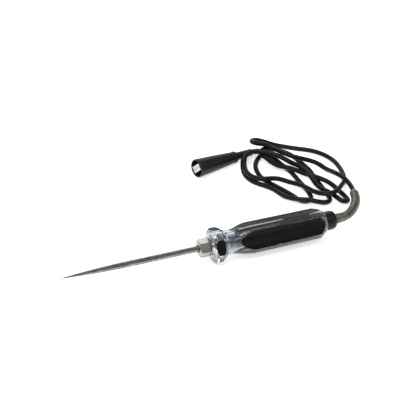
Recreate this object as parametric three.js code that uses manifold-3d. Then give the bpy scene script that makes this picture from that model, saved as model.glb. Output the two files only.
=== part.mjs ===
// Circuit test light: a steel probe screwed into a clear fluted handle with a lamp inside, and a lead
// with an insulated clip.
// Millimetres, +Z up. The probe points along -X. The tool's axis lies in the plane y = 0, and the
// handle's flange, the coiled lead and the clip's boot all rest on z = 0.
import * as THREE from "three";
import { mergeVertices } from "three/addons/utils/BufferGeometryUtils.js";
import Module from "manifold-3d";

const wasm = await Module();
wasm.setup();

// ---- Driving dimensions -------------------------------------------------------------------------

const clearance = 0.3; // gap between pieces that touch
const sheet = 0.6; // sheet metal of the clip
const overcut = 1; // how far a cutter stands out of what it cuts

// Probe
const probeExposedLength = 106.8;
const probeTaperLength = 46;
const probeRadius = 2.4;
const probeTipRadius = 0.25;
const probeBellyShare = 0.55; // where along the ground point its side swells most
const probeBellyRadiusShare = 0.9;
const probeContactStandout = 0.8; // how far its rear end stands out of the collar's bushing

// Collar: hexagon outside, threaded bushing inside the handle
const hexAcrossFlats = 12.7;
const hexLength = 9;
const hexChamfer = 1.1;
const hexFaceInset = 0.3; // the chamfer's circle on the front face lies this far inside the flats
const hexCornerAngle = 32;
const bushingRadius = 5.6;
const bushingLength = 11;
const threadRoom = 0.4; // radial room in which the two threads stand

// Handle, stations measured back from its front face
const handleLength = 94.5;
const handleFrontRadius = 8.2;
const flangeRadius = 13.8;
const flangeNoseLength = 3.7;
const flangeBandEnd = 7.2;
const flangeFlatApothem = 12.4;
const waistRadius = 9.45;
const waistStation = 16;
const gripStartStation = 33.6;
const gripFrontRadius = 12.95;
const gripRearRadius = 12.55;
const gripSwellShare = 0.38; // how much of the way from waist to grip each end of the swell keeps level
const rearChamferLength = 6.5;
const handleRearRadius = 8;
const fluteFloorRadius = 10.3;
const fluteHollowRadius = 55; // radius of the slight hollow across a flute
const fluteCount = 4;
const fluteAngle = 70;
const chamberDepth = 60;
const leadHoleRoom = 0.6; // radial room round the lead behind the chamber
const spigotBoreRadius = 5.6;
const spigotBoreRoom = 2; // how much deeper the bore is than the cap's spigot

// Lamp, stations measured back from the probe's rear end
const lampContactRadius = 1.6;
const lampContactLength = 1.1;
const lampInsulatorThickness = 1.5;
const lampShellWall = 0.4;
const lampShellLength = 10.4;
const lampFlangeRoom = 0.5; // radial room in which the lamp slides
const lampFlangeThickness = 0.9;
const lampGlassRoom = 0.4; // radial room between the glass and the spring round it
const lampGlassWall = 0.6;
const lampShellStep = 0.2; // how much wider the shell is than the glass
const lampGlassLength = 15.5;
const lampStemRoom = 0.8; // radial room between the stem and the inside of the glass
const lampStemStandout = 3;
const lampWireRadius = 0.3;
const lampWireInset = 0.6; // from the stem's side to a support wire's axis
const lampWireLength = 5.5;
const filamentRadius = 0.35;

// Contact spring and rear contact
const contactWireRadius = 0.35;
const contactSpringTurns = 8;
const contactSpringRoom = 0.7; // radial room outside the spring
const contactCupThickness = 0.8;
const contactCupLip = 2;
const terminalLength = 2.6;

// Rear cap
const capRimLength = 3.9;
const capDomeLength = 4.5;
const capRadius = 7.4;
const capEndLip = 0.9;
const capSpigotLength = 10.5;
const springSeatDepth = 5.4;

// Lead and strain relief
const leadRadius = 2;
const reliefWire = 1.2;
const reliefRoom = 0.4; // radial room between the lead and the strain relief
const reliefFlare = 0.9; // how much wider the strain relief is at its base
const reliefTaperLength = 15;
const leadSides = 8;
const tailRun = 4; // from the boot's neck to the coil
const coilHeight = 14;

// Clip: its own axis runs back from the boot's mouth
const bootWall = 1.3;
const bootMouthRoom = 0.68; // between the corners of the jaws' nose and the rubber
const bootRearRoom = 0.32;
const bootNeckWall = 1.1;
const bootNeckEndWall = 0.7;
const bootNeckLength = 17;
const clipMouthX = -67.6; // from the cap's rear end
const clipMouthY = 120.6;
const clipHeading = 15.5;
const clipRoll = -42;
const jawNoseWidth = 10.1;
const jawNoseHeight = 5.6;
const jawPivotStation = 24;
const jawPivotWidth = 6.1;
const jawEarReach = 3;
const jawEarHeight = 1.2;
const jawTailStation = 34.5;
const jawTailWidth = 3;
const jawNoseBlock = 3;
const jawToothPitch = 2;
const jawToothHeight = 0.5;
const jawTeeth = 7;
const pinRadius = 0.9;
const pinHeadRadius = 1.4;
const crimpLength = 4;
const crimpGap = 1.5; // between the moving jaw's tail and the crimp
const crimpInset = 0.1; // the crimp is this much lower than the jaws
const bootRim = 0.6;
const bootShoulder = 2;
const bootBulge = 0.3;
const bootEndRoom = 1; // behind the crimp
const clipSpringWire = 0.7;

// ---- Derived places -----------------------------------------------------------------------------

const capLength = capRimLength + capDomeLength;
const overallLength = probeExposedLength + hexLength + handleLength + capLength + 2 * clearance;
const capEndX = overallLength / 2;
const handleFrontX = capEndX - capLength - clearance - handleLength;
const handleRearX = handleFrontX + handleLength;
const collarRearX = handleFrontX - clearance;
const collarFrontX = collarRearX - hexLength;
const hexCornerRadius = hexAcrossFlats / 2 / Math.cos(Math.PI / 6);
const chamberRadius = bushingRadius + threadRoom;
const lampFlangeRadius = chamberRadius - lampFlangeRoom;
const contactSpringRadius = chamberRadius - contactSpringRoom - contactWireRadius;
const lampGlassRadius = contactSpringRadius - contactWireRadius - lampGlassRoom;
const lampShellRadius = lampGlassRadius + lampShellStep;
const lampStemRadius = lampShellRadius - lampShellWall - clearance - lampGlassWall - lampStemRoom;
const lampWireSpread = lampStemRadius - lampWireInset;
const probeRearX = handleFrontX + bushingLength + probeContactStandout;
const leadBore = leadRadius + clearance;
const leadHoleRadius = leadRadius + leadHoleRoom;
const spigotBoreDepth = capSpigotLength + spigotBoreRoom;
const reliefBore = leadRadius + reliefRoom;
const reliefRadius = reliefBore + reliefWire;
const reliefBaseRadius = reliefRadius + reliefFlare;
const reliefSeatRadius = reliefBaseRadius + clearance;
const capEndRadius = reliefSeatRadius + capEndLip;
const jawNoseCorner = Math.hypot(jawNoseWidth, jawNoseHeight) / 2;
const jawTailCorner = Math.hypot(jawTailWidth, jawNoseHeight) / 2;
const crimpStation = jawTailStation + crimpGap;
const bootMouthRadius = jawNoseCorner + bootMouthRoom + bootWall;
const bootRearRadius = jawTailCorner + bootRearRoom + bootWall;
const bootBodyLength = crimpStation + crimpLength + bootEndRoom;
const bootNeckRadius = leadBore + bootNeckWall;
const bootNeckEndRadius = leadBore + bootNeckEndWall;
const bootEndX = bootBodyLength + bootNeckLength;
const flatAngles = Array.from({ length: fluteCount }, (_, i) => fluteAngle + (i * 360) / fluteCount);

// ---- Materials ----------------------------------------------------------------------------------

const finish = (color, roughness, metalness) =>
  new THREE.MeshStandardMaterial({ color, roughness, metalness });

const steel = finish(0x9b9b98, 0.28, 1);
const nickel = finish(0xb4b5b4, 0.38, 1);
const acetate = finish(0xd9dcdd, 0.08, 0);
const blackPlastic = finish(0x151517, 0.45, 0);
const glass = finish(0xe8eef0, 0.05, 0);
const brass = finish(0xb08d4c, 0.3, 1);
const springSteel = finish(0x8d8f88, 0.35, 1);
const tungsten = finish(0x5d5c5a, 0.4, 1);
const insulator = finish(0x1c1a22, 0.3, 0);
const leadRubber = finish(0x141416, 0.55, 0);
const bootRubber = finish(0x1f2023, 0.6, 0);

// ---- Helpers ------------------------------------------------------------------------------------

const group = new THREE.Group();

function addMesh(parent, name, geometry, material) {
  const mesh = new THREE.Mesh(geometry, material);
  mesh.name = name;
  parent.add(mesh);
  return mesh;
}

// A solid of revolution about X from [x, radius] pairs.
function turned(profile, segments) {
  const points = profile.map(([x, r]) => new THREE.Vector2(r, x));
  return new THREE.LatheGeometry(points, segments).rotateZ(-Math.PI / 2);
}

// A tube wall about X: the outer profile runs back, then the bore runs forward to close the loop.
function turnedShell(outer, inner, segments) {
  return turned([...outer, ...inner, outer[0]], segments);
}

// A cylinder about X between two stations.
const rod = (x0, x1, radius, segments) => turned([[x0, 0], [x0, radius], [x1, radius], [x1, 0]], segments);

// A section drawn in the YZ plane, extruded along X between two stations.
const alongX = new THREE.Matrix4().makeBasis(
  new THREE.Vector3(0, 1, 0),
  new THREE.Vector3(0, 0, 1),
  new THREE.Vector3(1, 0, 0),
);
function prism(shape, x0, x1) {
  const body = new THREE.ExtrudeGeometry(shape, { depth: x1 - x0, bevelEnabled: false });
  return body.applyMatrix4(alongX).translate(x0, 0, 0);
}

// An outline drawn in the XZ plane, extruded across Y about the middle.
function profileAcross(points, width) {
  const shape = new THREE.Shape(points.map(([x, z]) => new THREE.Vector2(x, z)));
  const body = new THREE.ExtrudeGeometry(shape, { depth: width, bevelEnabled: false });
  return body.rotateX(Math.PI / 2).translate(0, width / 2, 0);
}

// An outline drawn in the XY plane, extruded up between two heights.
function slab(points, z0, z1) {
  const shape = new THREE.Shape(points.map(([x, y]) => new THREE.Vector2(x, y)));
  return new THREE.ExtrudeGeometry(shape, { depth: z1 - z0, bevelEnabled: false }).translate(0, 0, z0);
}

const degrees = (angle) => THREE.MathUtils.degToRad(angle);

function solidOf(geometry) {
  const bare = geometry.clone();
  bare.deleteAttribute("normal");
  bare.deleteAttribute("uv");
  const merged = mergeVertices(bare, 1e-4);
  return new wasm.Manifold(
    new wasm.Mesh({
      numProp: 3,
      vertProperties: merged.attributes.position.array,
      triVerts: new Uint32Array(merged.index.array),
    }),
  );
}

function geometryOf(solid) {
  const mesh = solid.getMesh();
  const geometry = new THREE.BufferGeometry();
  geometry.setAttribute("position", new THREE.BufferAttribute(mesh.vertProperties, 3));
  geometry.setIndex(new THREE.BufferAttribute(mesh.triVerts, 1));
  return geometry;
}

const cut = (body, ...tools) =>
  geometryOf(tools.reduce((rest, tool) => rest.subtract(solidOf(tool)), solidOf(body)));
const join = (...pieces) =>
  geometryOf(pieces.slice(1).reduce((sum, piece) => sum.add(solidOf(piece)), solidOf(pieces[0])));
const common = (...pieces) =>
  geometryOf(pieces.slice(1).reduce((rest, piece) => rest.intersect(solidOf(piece)), solidOf(pieces[0])));

// Points of a curve as [x, y] pairs, so that they can join a profile.
const curvePoints = (curve, divisions) => curve.getPoints(divisions).map((p) => [p.x, p.y]);
const quadratic = (a, b, c, divisions) =>
  curvePoints(new THREE.QuadraticBezierCurve(...[a, b, c].map((p) => new THREE.Vector2(...p))), divisions);
const cubic = (a, b, c, d, divisions) =>
  curvePoints(new THREE.CubicBezierCurve(...[a, b, c, d].map((p) => new THREE.Vector2(...p))), divisions);

// A round dome on the end of a profile, from [x, r] at its edge to radius rEnd at x + length.
function dome(x, r, length, rEnd, divisions) {
  const points = [];
  for (let i = 0; i <= divisions; i++) {
    const turn = (i / divisions) * (Math.PI / 2);
    points.push([x + length * Math.sin(turn), rEnd + (r - rEnd) * Math.cos(turn)]);
  }
  return points;
}

// ---- Probe and collar ---------------------------------------------------------------------------

const probeUnit = new THREE.Group();

function makeProbe() {
  const tipX = -overallLength / 2;
  const shaftX = tipX + probeTaperLength;
  // The ground point is slightly convex, so its side is a shallow curve.
  const point = quadratic(
    [tipX, probeTipRadius],
    [tipX + probeTaperLength * probeBellyShare, probeRadius * probeBellyRadiusShare],
    [shaftX, probeRadius],
    6,
  );
  const profile = [[tipX, 0], ...point, [probeRearX, probeRadius], [probeRearX, 0]];
  addMesh(probeUnit, "probe_needle", turned(profile, 16), steel);
}

function hexShape() {
  const shape = new THREE.Shape();
  for (let i = 0; i < 6; i++) {
    // Angles run from +Z towards -Y, and the outline runs the other way round.
    const angle = degrees(hexCornerAngle - i * 60);
    const point = [-hexCornerRadius * Math.sin(angle), hexCornerRadius * Math.cos(angle)];
    if (i === 0) shape.moveTo(...point);
    else shape.lineTo(...point);
  }
  return shape;
}

function makeCollar() {
  const faceEdge = hexAcrossFlats / 2 - hexFaceInset;
  const hexagon = prism(hexShape(), collarFrontX, collarRearX);
  // A cone turned on the front face rounds the six corners.
  const chamfered = turned(
    [
      [collarFrontX, 0],
      [collarFrontX, faceEdge],
      [collarFrontX + hexChamfer, hexCornerRadius],
      [collarFrontX + hexChamfer, hexCornerRadius + overcut],
      [collarRearX + overcut, hexCornerRadius + overcut],
      [collarRearX + overcut, 0],
    ],
    36,
  );
  const bushing = rod(collarRearX - overcut, handleFrontX + bushingLength, bushingRadius, 36);
  const bore = rod(collarFrontX - overcut, probeRearX + overcut, probeRadius + clearance, 24);
  const outside = join(common(hexagon, chamfered), bushing);
  addMesh(probeUnit, "collar_nut", cut(outside, bore), nickel);
}

makeProbe();
makeCollar();

// ---- Handle -------------------------------------------------------------------------------------

const at = (station) => handleFrontX + station;

function handleBlank() {
  const gripEnd = at(handleLength - rearChamferLength);
  const noseFront = [];
  const steps = 5;
  for (let i = 0; i <= steps; i++) {
    const turn = (i / steps) * (Math.PI / 2);
    noseFront.push([
      at(flangeNoseLength * (1 - Math.cos(turn))),
      handleFrontRadius + (flangeRadius - handleFrontRadius) * Math.sin(turn),
    ]);
  }
  const flangeToWaist = quadratic(
    [at(flangeBandEnd), flangeRadius],
    [at((flangeBandEnd + waistStation) / 2), waistRadius],
    [at(waistStation), waistRadius],
    6,
  );
  const swell = (gripStartStation - waistStation) * gripSwellShare;
  const waistToGrip = cubic(
    [at(waistStation), waistRadius],
    [at(waistStation + swell), waistRadius],
    [at(gripStartStation - swell), gripFrontRadius],
    [at(gripStartStation), gripFrontRadius],
    9,
  ).slice(1);
  const outer = [
    ...noseFront,
    ...flangeToWaist,
    ...waistToGrip,
    [gripEnd, gripRearRadius],
    [handleRearX, handleRearRadius],
  ];
  const inner = [
    [handleRearX, spigotBoreRadius],
    [handleRearX - spigotBoreDepth, spigotBoreRadius],
    [handleRearX - spigotBoreDepth, leadHoleRadius],
    [at(chamberDepth), leadHoleRadius],
    [at(chamberDepth), chamberRadius],
    [at(0), chamberRadius],
  ];
  return turnedShell(outer, inner, 48);
}

// The cutter of one flute: its underside is a shallow arc across the flute's floor.
function fluteCutter() {
  const half = gripFrontRadius;
  const steps = 8;
  const points = [];
  for (let i = 0; i <= steps; i++) {
    const across = -half + (2 * half * i) / steps;
    const rise = fluteHollowRadius - Math.sqrt(fluteHollowRadius ** 2 - across ** 2);
    points.push(new THREE.Vector2(across, fluteFloorRadius + rise));
  }
  points.push(new THREE.Vector2(half, 2 * gripFrontRadius));
  points.push(new THREE.Vector2(-half, 2 * gripFrontRadius));
  return prism(new THREE.Shape(points), at(waistStation), handleRearX + overcut);
}

function flangeFlatCutter() {
  const half = flangeRadius;
  const shape = new THREE.Shape([
    new THREE.Vector2(-half, flangeFlatApothem),
    new THREE.Vector2(half, flangeFlatApothem),
    new THREE.Vector2(half, 2 * flangeRadius),
    new THREE.Vector2(-half, 2 * flangeRadius),
  ]);
  return prism(shape, at(-overcut), at(waistStation));
}

function makeHandle(parent) {
  // Angles run from +Z towards -Y, which is a turn about +X.
  const flutes = flatAngles.map((angle) => fluteCutter().rotateX(degrees(angle)));
  const flats = flatAngles.map((angle) => flangeFlatCutter().rotateX(degrees(angle)));
  addMesh(parent, "handle_body", cut(handleBlank(), ...flutes, ...flats), acetate);
}

function makeRearCap(parent) {
  const rimX = handleRearX + clearance;
  const spigotRadius = spigotBoreRadius - clearance;
  const spigotX = handleRearX - capSpigotLength;
  const outer = [
    [spigotX, spigotRadius],
    [rimX, spigotRadius],
    [rimX, capRadius],
    ...dome(rimX + capRimLength, capRadius, capDomeLength, capEndRadius, 5),
  ];
  const inner = [
    [capEndX, reliefSeatRadius],
    [capEndX - springSeatDepth, reliefSeatRadius],
    [capEndX - springSeatDepth, leadBore],
    [spigotX, leadBore],
  ];
  addMesh(parent, "rear_cap", turnedShell(outer, inner, 36), blackPlastic);
}

// ---- Lamp ---------------------------------------------------------------------------------------

const lampUnit = new THREE.Group();
const lampX = probeRearX + clearance;
const shellX = lampX + lampContactLength + clearance;
const shellRearX = shellX + lampShellLength;

function makeLamp() {
  const segments = 24;
  const contact = dome(0, lampContactRadius, lampContactLength, 0, 4)
    .reverse()
    .map(([x, r]) => [lampX + lampContactLength - x, r]);
  addMesh(lampUnit, "lamp_tip_contact", turned([...contact, [lampX + lampContactLength, 0]], 16), brass);

  const shellBore = lampShellRadius - lampShellWall;
  addMesh(
    lampUnit,
    "lamp_insulator",
    rod(shellX, shellX + lampInsulatorThickness, shellBore - clearance, segments),
    insulator,
  );
  const shell = turnedShell(
    [
      [shellX, lampShellRadius],
      [shellRearX - lampFlangeThickness, lampShellRadius],
      [shellRearX - lampFlangeThickness, lampFlangeRadius],
      [shellRearX, lampFlangeRadius],
    ],
    [
      [shellRearX, shellBore],
      [shellX, shellBore],
    ],
    segments,
  );
  addMesh(lampUnit, "lamp_shell", shell, brass);

  const neckRadius = shellBore - clearance;
  const neckX = shellX + lampInsulatorThickness + clearance;
  const bulbX = shellRearX + clearance;
  const bulbEnd = lampGlassRadius;
  const inside = lampGlassRadius - lampGlassWall;
  const outerDome = dome(bulbX + lampGlassLength - bulbEnd, lampGlassRadius, bulbEnd, 0, 6);
  const innerDome = dome(bulbX + lampGlassLength - bulbEnd, inside, bulbEnd - lampGlassWall, 0, 6);
  const envelope = turned(
    [
      [neckX, neckRadius - lampGlassWall],
      [neckX, neckRadius],
      [bulbX, neckRadius],
      [bulbX, lampGlassRadius],
      ...outerDome,
      ...innerDome.reverse(),
      [bulbX + lampGlassWall, inside],
      [bulbX + lampGlassWall, neckRadius - lampGlassWall],
      [neckX, neckRadius - lampGlassWall],
    ],
    segments,
  );
  addMesh(lampUnit, "lamp_glass", envelope, glass);

  const stemEnd = bulbX + lampStemStandout;
  addMesh(lampUnit, "lamp_stem", rod(neckX, stemEnd, lampStemRadius, 16), glass);
  const wireX = stemEnd + clearance;
  for (const [index, side] of [-1, 1].entries()) {
    const wire = rod(wireX, wireX + lampWireLength, lampWireRadius, 8);
    wire.translate(0, side * lampWireSpread, 0);
    addMesh(lampUnit, `lamp_support_wire_${index + 1}`, wire, tungsten);
  }
  const span = lampWireSpread - lampWireRadius - clearance;
  const filament = new THREE.CylinderGeometry(filamentRadius, filamentRadius, 2 * span, 8);
  filament.translate(wireX + lampWireLength - filamentRadius, 0, 0);
  addMesh(lampUnit, "lamp_filament", filament, tungsten);
}

makeLamp();

// ---- Contact spring and rear contact ------------------------------------------------------------

const cupX = at(chamberDepth) - clearance - contactCupThickness;

class HelixAlongX extends THREE.Curve {
  constructor(x0, x1, radius, turns) {
    super();
    Object.assign(this, { x0, x1, radius, turns });
  }
  getPoint(t, target = new THREE.Vector3()) {
    const angle = 2 * Math.PI * this.turns * t;
    const x = this.x0 + (this.x1 - this.x0) * t;
    return target.set(x, this.radius * Math.cos(angle), this.radius * Math.sin(angle));
  }
}

function roundSection(radius, sides) {
  const points = [];
  for (let i = 0; i < sides; i++) {
    const angle = (2 * Math.PI * i) / sides;
    points.push(new THREE.Vector2(radius * Math.cos(angle), radius * Math.sin(angle)));
  }
  return new THREE.Shape(points);
}

function makeContacts(parent) {
  const room = clearance + contactWireRadius;
  const helix = new HelixAlongX(
    shellRearX + room,
    cupX - room,
    contactSpringRadius,
    contactSpringTurns,
  );
  const steps = contactSpringTurns * 14;
  const spring = new THREE.ExtrudeGeometry(roundSection(contactWireRadius, 6), {
    steps,
    extrudePath: helix,
    bevelEnabled: false,
  });
  addMesh(parent, "contact_spring", spring, springSteel);

  const cupRadius = chamberRadius - clearance;
  const boreRadius = contactSpringRadius + contactWireRadius + clearance / 2;
  const cup = turned(
    [
      [cupX, 0],
      [cupX, boreRadius],
      [cupX - contactCupLip, boreRadius],
      [cupX - contactCupLip, cupRadius],
      [cupX + contactCupThickness, cupRadius],
      [cupX + contactCupThickness, 0],
    ],
    24,
  );
  addMesh(parent, "rear_contact_cup", cup, brass);

  const terminalX = at(chamberDepth);
  addMesh(parent, "lead_terminal", rod(terminalX, terminalX + terminalLength, leadRadius, 12), brass);
  const leadX = terminalX + terminalLength + clearance;
  const lead = rod(leadX, capEndX - springSeatDepth, leadRadius, leadSides);
  addMesh(parent, "lead_in_handle", lead, leadRubber);
}

// ---- Lead, strain relief and coil ---------------------------------------------------------------

// Places on the lead are measured from the point of the floor under the cap's rear end.
const leadGroup = new THREE.Group();

function makeLead(axisHeight) {
  const springStart = new THREE.Vector3(clearance - springSeatDepth, 0, axisHeight);
  const reliefRoute = [
    springStart,
    new THREE.Vector3(0, 0, axisHeight),
    new THREE.Vector3(9.9, 1.2, 13.5),
    new THREE.Vector3(17.5, 6.2, 13),
    new THREE.Vector3(23, 12.3, 12.3),
    new THREE.Vector3(28, 19.2, 11.4),
    new THREE.Vector3(32.2, 27.3, 10.4),
    new THREE.Vector3(35.5, 36.5, 9.2),
  ];
  const runRoute = [
    ...reliefRoute,
    new THREE.Vector3(38.3, 44.7, 6.7),
    new THREE.Vector3(39.3, 50.6, 6.8),
    new THREE.Vector3(39.9, 56.6, 7.2),
  ];
  addMesh(leadGroup, "strain_relief_spring", taperedTube(reliefRoute), springSteel);
  const lead = new THREE.ExtrudeGeometry(roundSection(leadRadius, leadSides), {
    steps: 14,
    extrudePath: new THREE.CatmullRomCurve3(runRoute),
    bevelEnabled: false,
  });
  addMesh(leadGroup, "lead_run", lead, leadRubber);
}

// The close-wound strain relief as one tube, thicker where it seats in the cap.
function taperedTube(route) {
  const steps = 12;
  const curve = new THREE.CatmullRomCurve3(route);
  const section = roundSection(reliefRadius, 12);
  section.holes.push(new THREE.Path(roundSection(reliefBore, 12).getPoints().reverse()));
  const tube = new THREE.ExtrudeGeometry(section, { steps, extrudePath: curve, bevelEnabled: false });
  const centres = curve.getSpacedPoints(steps);
  const spacing = curve.getLength() / steps;
  const position = tube.attributes.position;
  const point = new THREE.Vector3();
  for (let i = 0; i < position.count; i++) {
    point.fromBufferAttribute(position, i);
    const distances = centres.map((centre) => centre.distanceTo(point));
    const ring = distances.indexOf(Math.min(...distances));
    const outward = point.clone().sub(centres[ring]);
    if (outward.length() < (reliefBore + reliefRadius) / 2) continue;
    const share = Math.max(0, 1 - (ring * spacing) / reliefTaperLength);
    outward.setLength(reliefRadius + (reliefBaseRadius - reliefRadius) * share);
    point.copy(centres[ring]).add(outward);
    position.setXYZ(i, point.x, point.y, point.z);
  }
  return tube;
}

// The loose coil's outer shape, seen from above. The edge at the front right faces the run from the
// strain relief, and the short edge at the left faces the tail from the clip.
const coilOutline = [
  [34.5, 57.2],
  [45, 57.2],
  [48.3, 75],
  [50.4, 90],
  [50.3, 100],
  [47.8, 112],
  [42, 121.5],
  [34, 128.5],
  [16, 139],
  [2, 148],
  [-6, 149.2],
  [-10, 146],
  [-8.9, 142],
  [-6.3, 132.4],
  [-13.5, 128.5],
  [-22.5, 125],
  [-29.5, 116],
  [-32.8, 103],
  [-31.2, 89],
  [-25, 75],
  [-15, 59],
  [-0.5, 45.5],
  [8, 41],
  [27, 35.2],
  [31, 38.5],
  [33, 47],
];

function makeCoil() {
  addMesh(leadGroup, "lead_coil", slab(coilOutline, 0, coilHeight), leadRubber);
}

// ---- Clip ---------------------------------------------------------------------------------------

// The clip's frame has its origin at the middle of the boot's mouth and +X along its axis to the tail.
const clipPitch = THREE.MathUtils.radToDeg(Math.atan2(bootMouthRadius - bootRearRadius, bootBodyLength));
const clipGroup = new THREE.Group();
const rolledGroup = new THREE.Group();

function makeBoot() {
  const side = (x0, r0, x1, r1) =>
    quadratic([x0, r0], [(x0 + x1) / 2, (r0 + r1) / 2 + bootBulge], [x1, r1], 4);
  const outer = [
    [0, bootMouthRadius - bootRim],
    [bootRim, bootMouthRadius],
    ...side(2 * bootRim, bootMouthRadius, bootBodyLength - bootShoulder, bootRearRadius),
    [bootBodyLength, bootRearRadius - bootRim],
    [bootBodyLength + bootRim, bootNeckRadius],
    [bootEndX - bootRim, bootNeckEndRadius],
    [bootEndX, bootNeckEndRadius - bootRim / 2],
  ];
  const boreFront = bootMouthRadius - bootWall;
  const boreRear = bootRearRadius - bootWall;
  const inner = [
    [bootEndX, leadBore],
    [bootBodyLength + bootRim, leadBore],
    ...side(0, boreFront, bootBodyLength - bootShoulder, boreRear).reverse(),
  ];
  addMesh(clipGroup, "clip_boot", turnedShell(outer, inner, 28), bootRubber);
}

// Side view of one jaw, its biting edge along z = gap and its back along z = height.
function jawProfile(height) {
  const gap = clearance / 2;
  const points = [[clearance, gap]];
  for (let i = 0; i < jawTeeth; i++) {
    const x = jawNoseBlock + i * jawToothPitch;
    points.push([x, gap], [x + jawToothPitch / 2, gap + jawToothHeight]);
  }
  const ear = jawPivotStation - jawEarReach;
  const earEnd = jawPivotStation + jawEarReach;
  points.push([jawNoseBlock + jawTeeth * jawToothPitch, gap], [ear, gap]);
  points.push([jawPivotStation - jawEarHeight, -jawEarHeight]);
  points.push([jawPivotStation + jawEarHeight, -jawEarHeight]);
  points.push([earEnd, gap], [earEnd + 1, height - sheet], [jawTailStation, height - sheet]);
  points.push([jawTailStation, height], [clearance, height]);
  return points;
}

// One pressed jaw: side view and plan crossed, hollowed to a channel, and drilled for the pin.
function jawSolid(earWidth) {
  const height = jawNoseHeight / 2;
  const wide = jawNoseWidth / 2;
  const ear = earWidth / 2;
  const tail = jawTailWidth / 2;
  const earFront = jawPivotStation - jawEarReach - clearance;
  const earRear = jawPivotStation + jawEarReach;
  const plan = [
    [0, -wide],
    [earFront, -ear],
    [earRear, -ear],
    [jawTailStation, -tail],
    [jawTailStation, tail],
    [earRear, ear],
    [earFront, ear],
    [0, wide],
  ];
  const channel = [
    [jawNoseBlock, -wide + 2 * sheet],
    [earFront, -ear + sheet],
    [jawTailStation + overcut, -ear + sheet],
    [jawTailStation + overcut, ear - sheet],
    [earFront, ear - sheet],
    [jawNoseBlock, wide - 2 * sheet],
  ];
  const blank = common(
    profileAcross(jawProfile(height), jawNoseWidth + overcut),
    slab(plan, -height, height),
  );
  const pinHole = new THREE.CylinderGeometry(
    pinRadius + clearance,
    pinRadius + clearance,
    jawNoseWidth,
    16,
  ).translate(jawPivotStation, 0, 0);
  return cut(blank, slab(channel, -height - overcut, height - sheet), pinHole);
}

function makeJaws() {
  const innerEar = jawPivotWidth - 2 * (sheet + clearance);
  addMesh(rolledGroup, "clip_moving_jaw", jawSolid(innerEar), nickel);

  // The fixed jaw is the same pressing turned over, wider at the ears, with the lead's crimp behind.
  const lower = jawSolid(jawPivotWidth).rotateX(Math.PI);
  const strapTop = -jawNoseHeight / 2 + sheet;
  const crimpRadius = jawNoseHeight / 2 - crimpInset;
  const strap = slab(
    [
      [jawTailStation - overcut, -jawTailWidth / 2],
      [crimpStation + crimpLength / 2, -jawTailWidth / 2],
      [crimpStation + crimpLength / 2, jawTailWidth / 2],
      [jawTailStation - overcut, jawTailWidth / 2],
    ],
    -jawNoseHeight / 2,
    strapTop,
  );
  const barrel = rod(crimpStation, crimpStation + crimpLength, crimpRadius, 20);
  const bore = rod(crimpStation - overcut, crimpStation + crimpLength + overcut, leadBore, 16);
  addMesh(rolledGroup, "clip_fixed_jaw", cut(join(lower, strap, barrel), bore), nickel);

  const pinHalf = jawPivotWidth / 2;
  const pin = turned(
    [
      [-pinHalf - clearance - sheet, 0],
      [-pinHalf - clearance - sheet, pinHeadRadius],
      [-pinHalf - clearance, pinHeadRadius],
      [-pinHalf - clearance, pinRadius],
      [pinHalf + clearance, pinRadius],
      [pinHalf + clearance, pinHeadRadius],
      [pinHalf + clearance + sheet, pinHeadRadius],
      [pinHalf + clearance + sheet, 0],
    ],
    14,
  );
  pin.rotateZ(Math.PI / 2).translate(jawPivotStation, 0, 0);
  addMesh(rolledGroup, "clip_pivot_pin", pin, steel);

  const springHalf = innerEar / 2 - sheet - clearance;
  const springInner = pinRadius + clearance;
  const springOuter = springInner + clipSpringWire;
  const coil = turnedShell(
    [[-springHalf, springOuter], [springHalf, springOuter]],
    [[springHalf, springInner], [-springHalf, springInner]],
    16,
  );
  coil.rotateZ(Math.PI / 2).translate(jawPivotStation, 0, 0);
  addMesh(rolledGroup, "clip_spring", coil, springSteel);
}

function makeTail() {
  const tail = rod(crimpStation, bootEndX + tailRun, leadRadius, leadSides);
  addMesh(clipGroup, "lead_tail", tail, leadRubber);
}

makeBoot();
makeJaws();
makeTail();
rolledGroup.rotation.x = degrees(clipRoll);
clipGroup.add(rolledGroup);
clipGroup.rotation.order = "ZYX";
clipGroup.rotation.set(0, degrees(clipPitch), degrees(clipHeading));
clipGroup.position.set(clipMouthX, clipMouthY, 0);
clipGroup.position.z = -new THREE.Box3().setFromObject(clipGroup, true).min.z;

// ---- Assembly -----------------------------------------------------------------------------------

const tool = new THREE.Group();
makeHandle(tool);
makeRearCap(tool);
makeContacts(tool);
tool.add(probeUnit, lampUnit);
const axisHeight = -new THREE.Box3().setFromObject(tool.getObjectByName("handle_body")).min.z;
tool.position.z = axisHeight;
makeLead(axisHeight);
makeCoil();
leadGroup.add(clipGroup);
leadGroup.position.x = capEndX;
group.add(tool, leadGroup);

export default group;
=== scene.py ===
# %% [markdown]
# # A circuit test light
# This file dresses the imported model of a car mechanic's test light: a steel probe screwed into a clear
# handle with a lamp inside, and a rubber lead that ends in an insulated clip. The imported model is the
# frame: it fixes every place and size, and each piece made here goes where the frame says.

import math

import bpy
import numpy as np
from mathutils import Matrix, Vector


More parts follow.
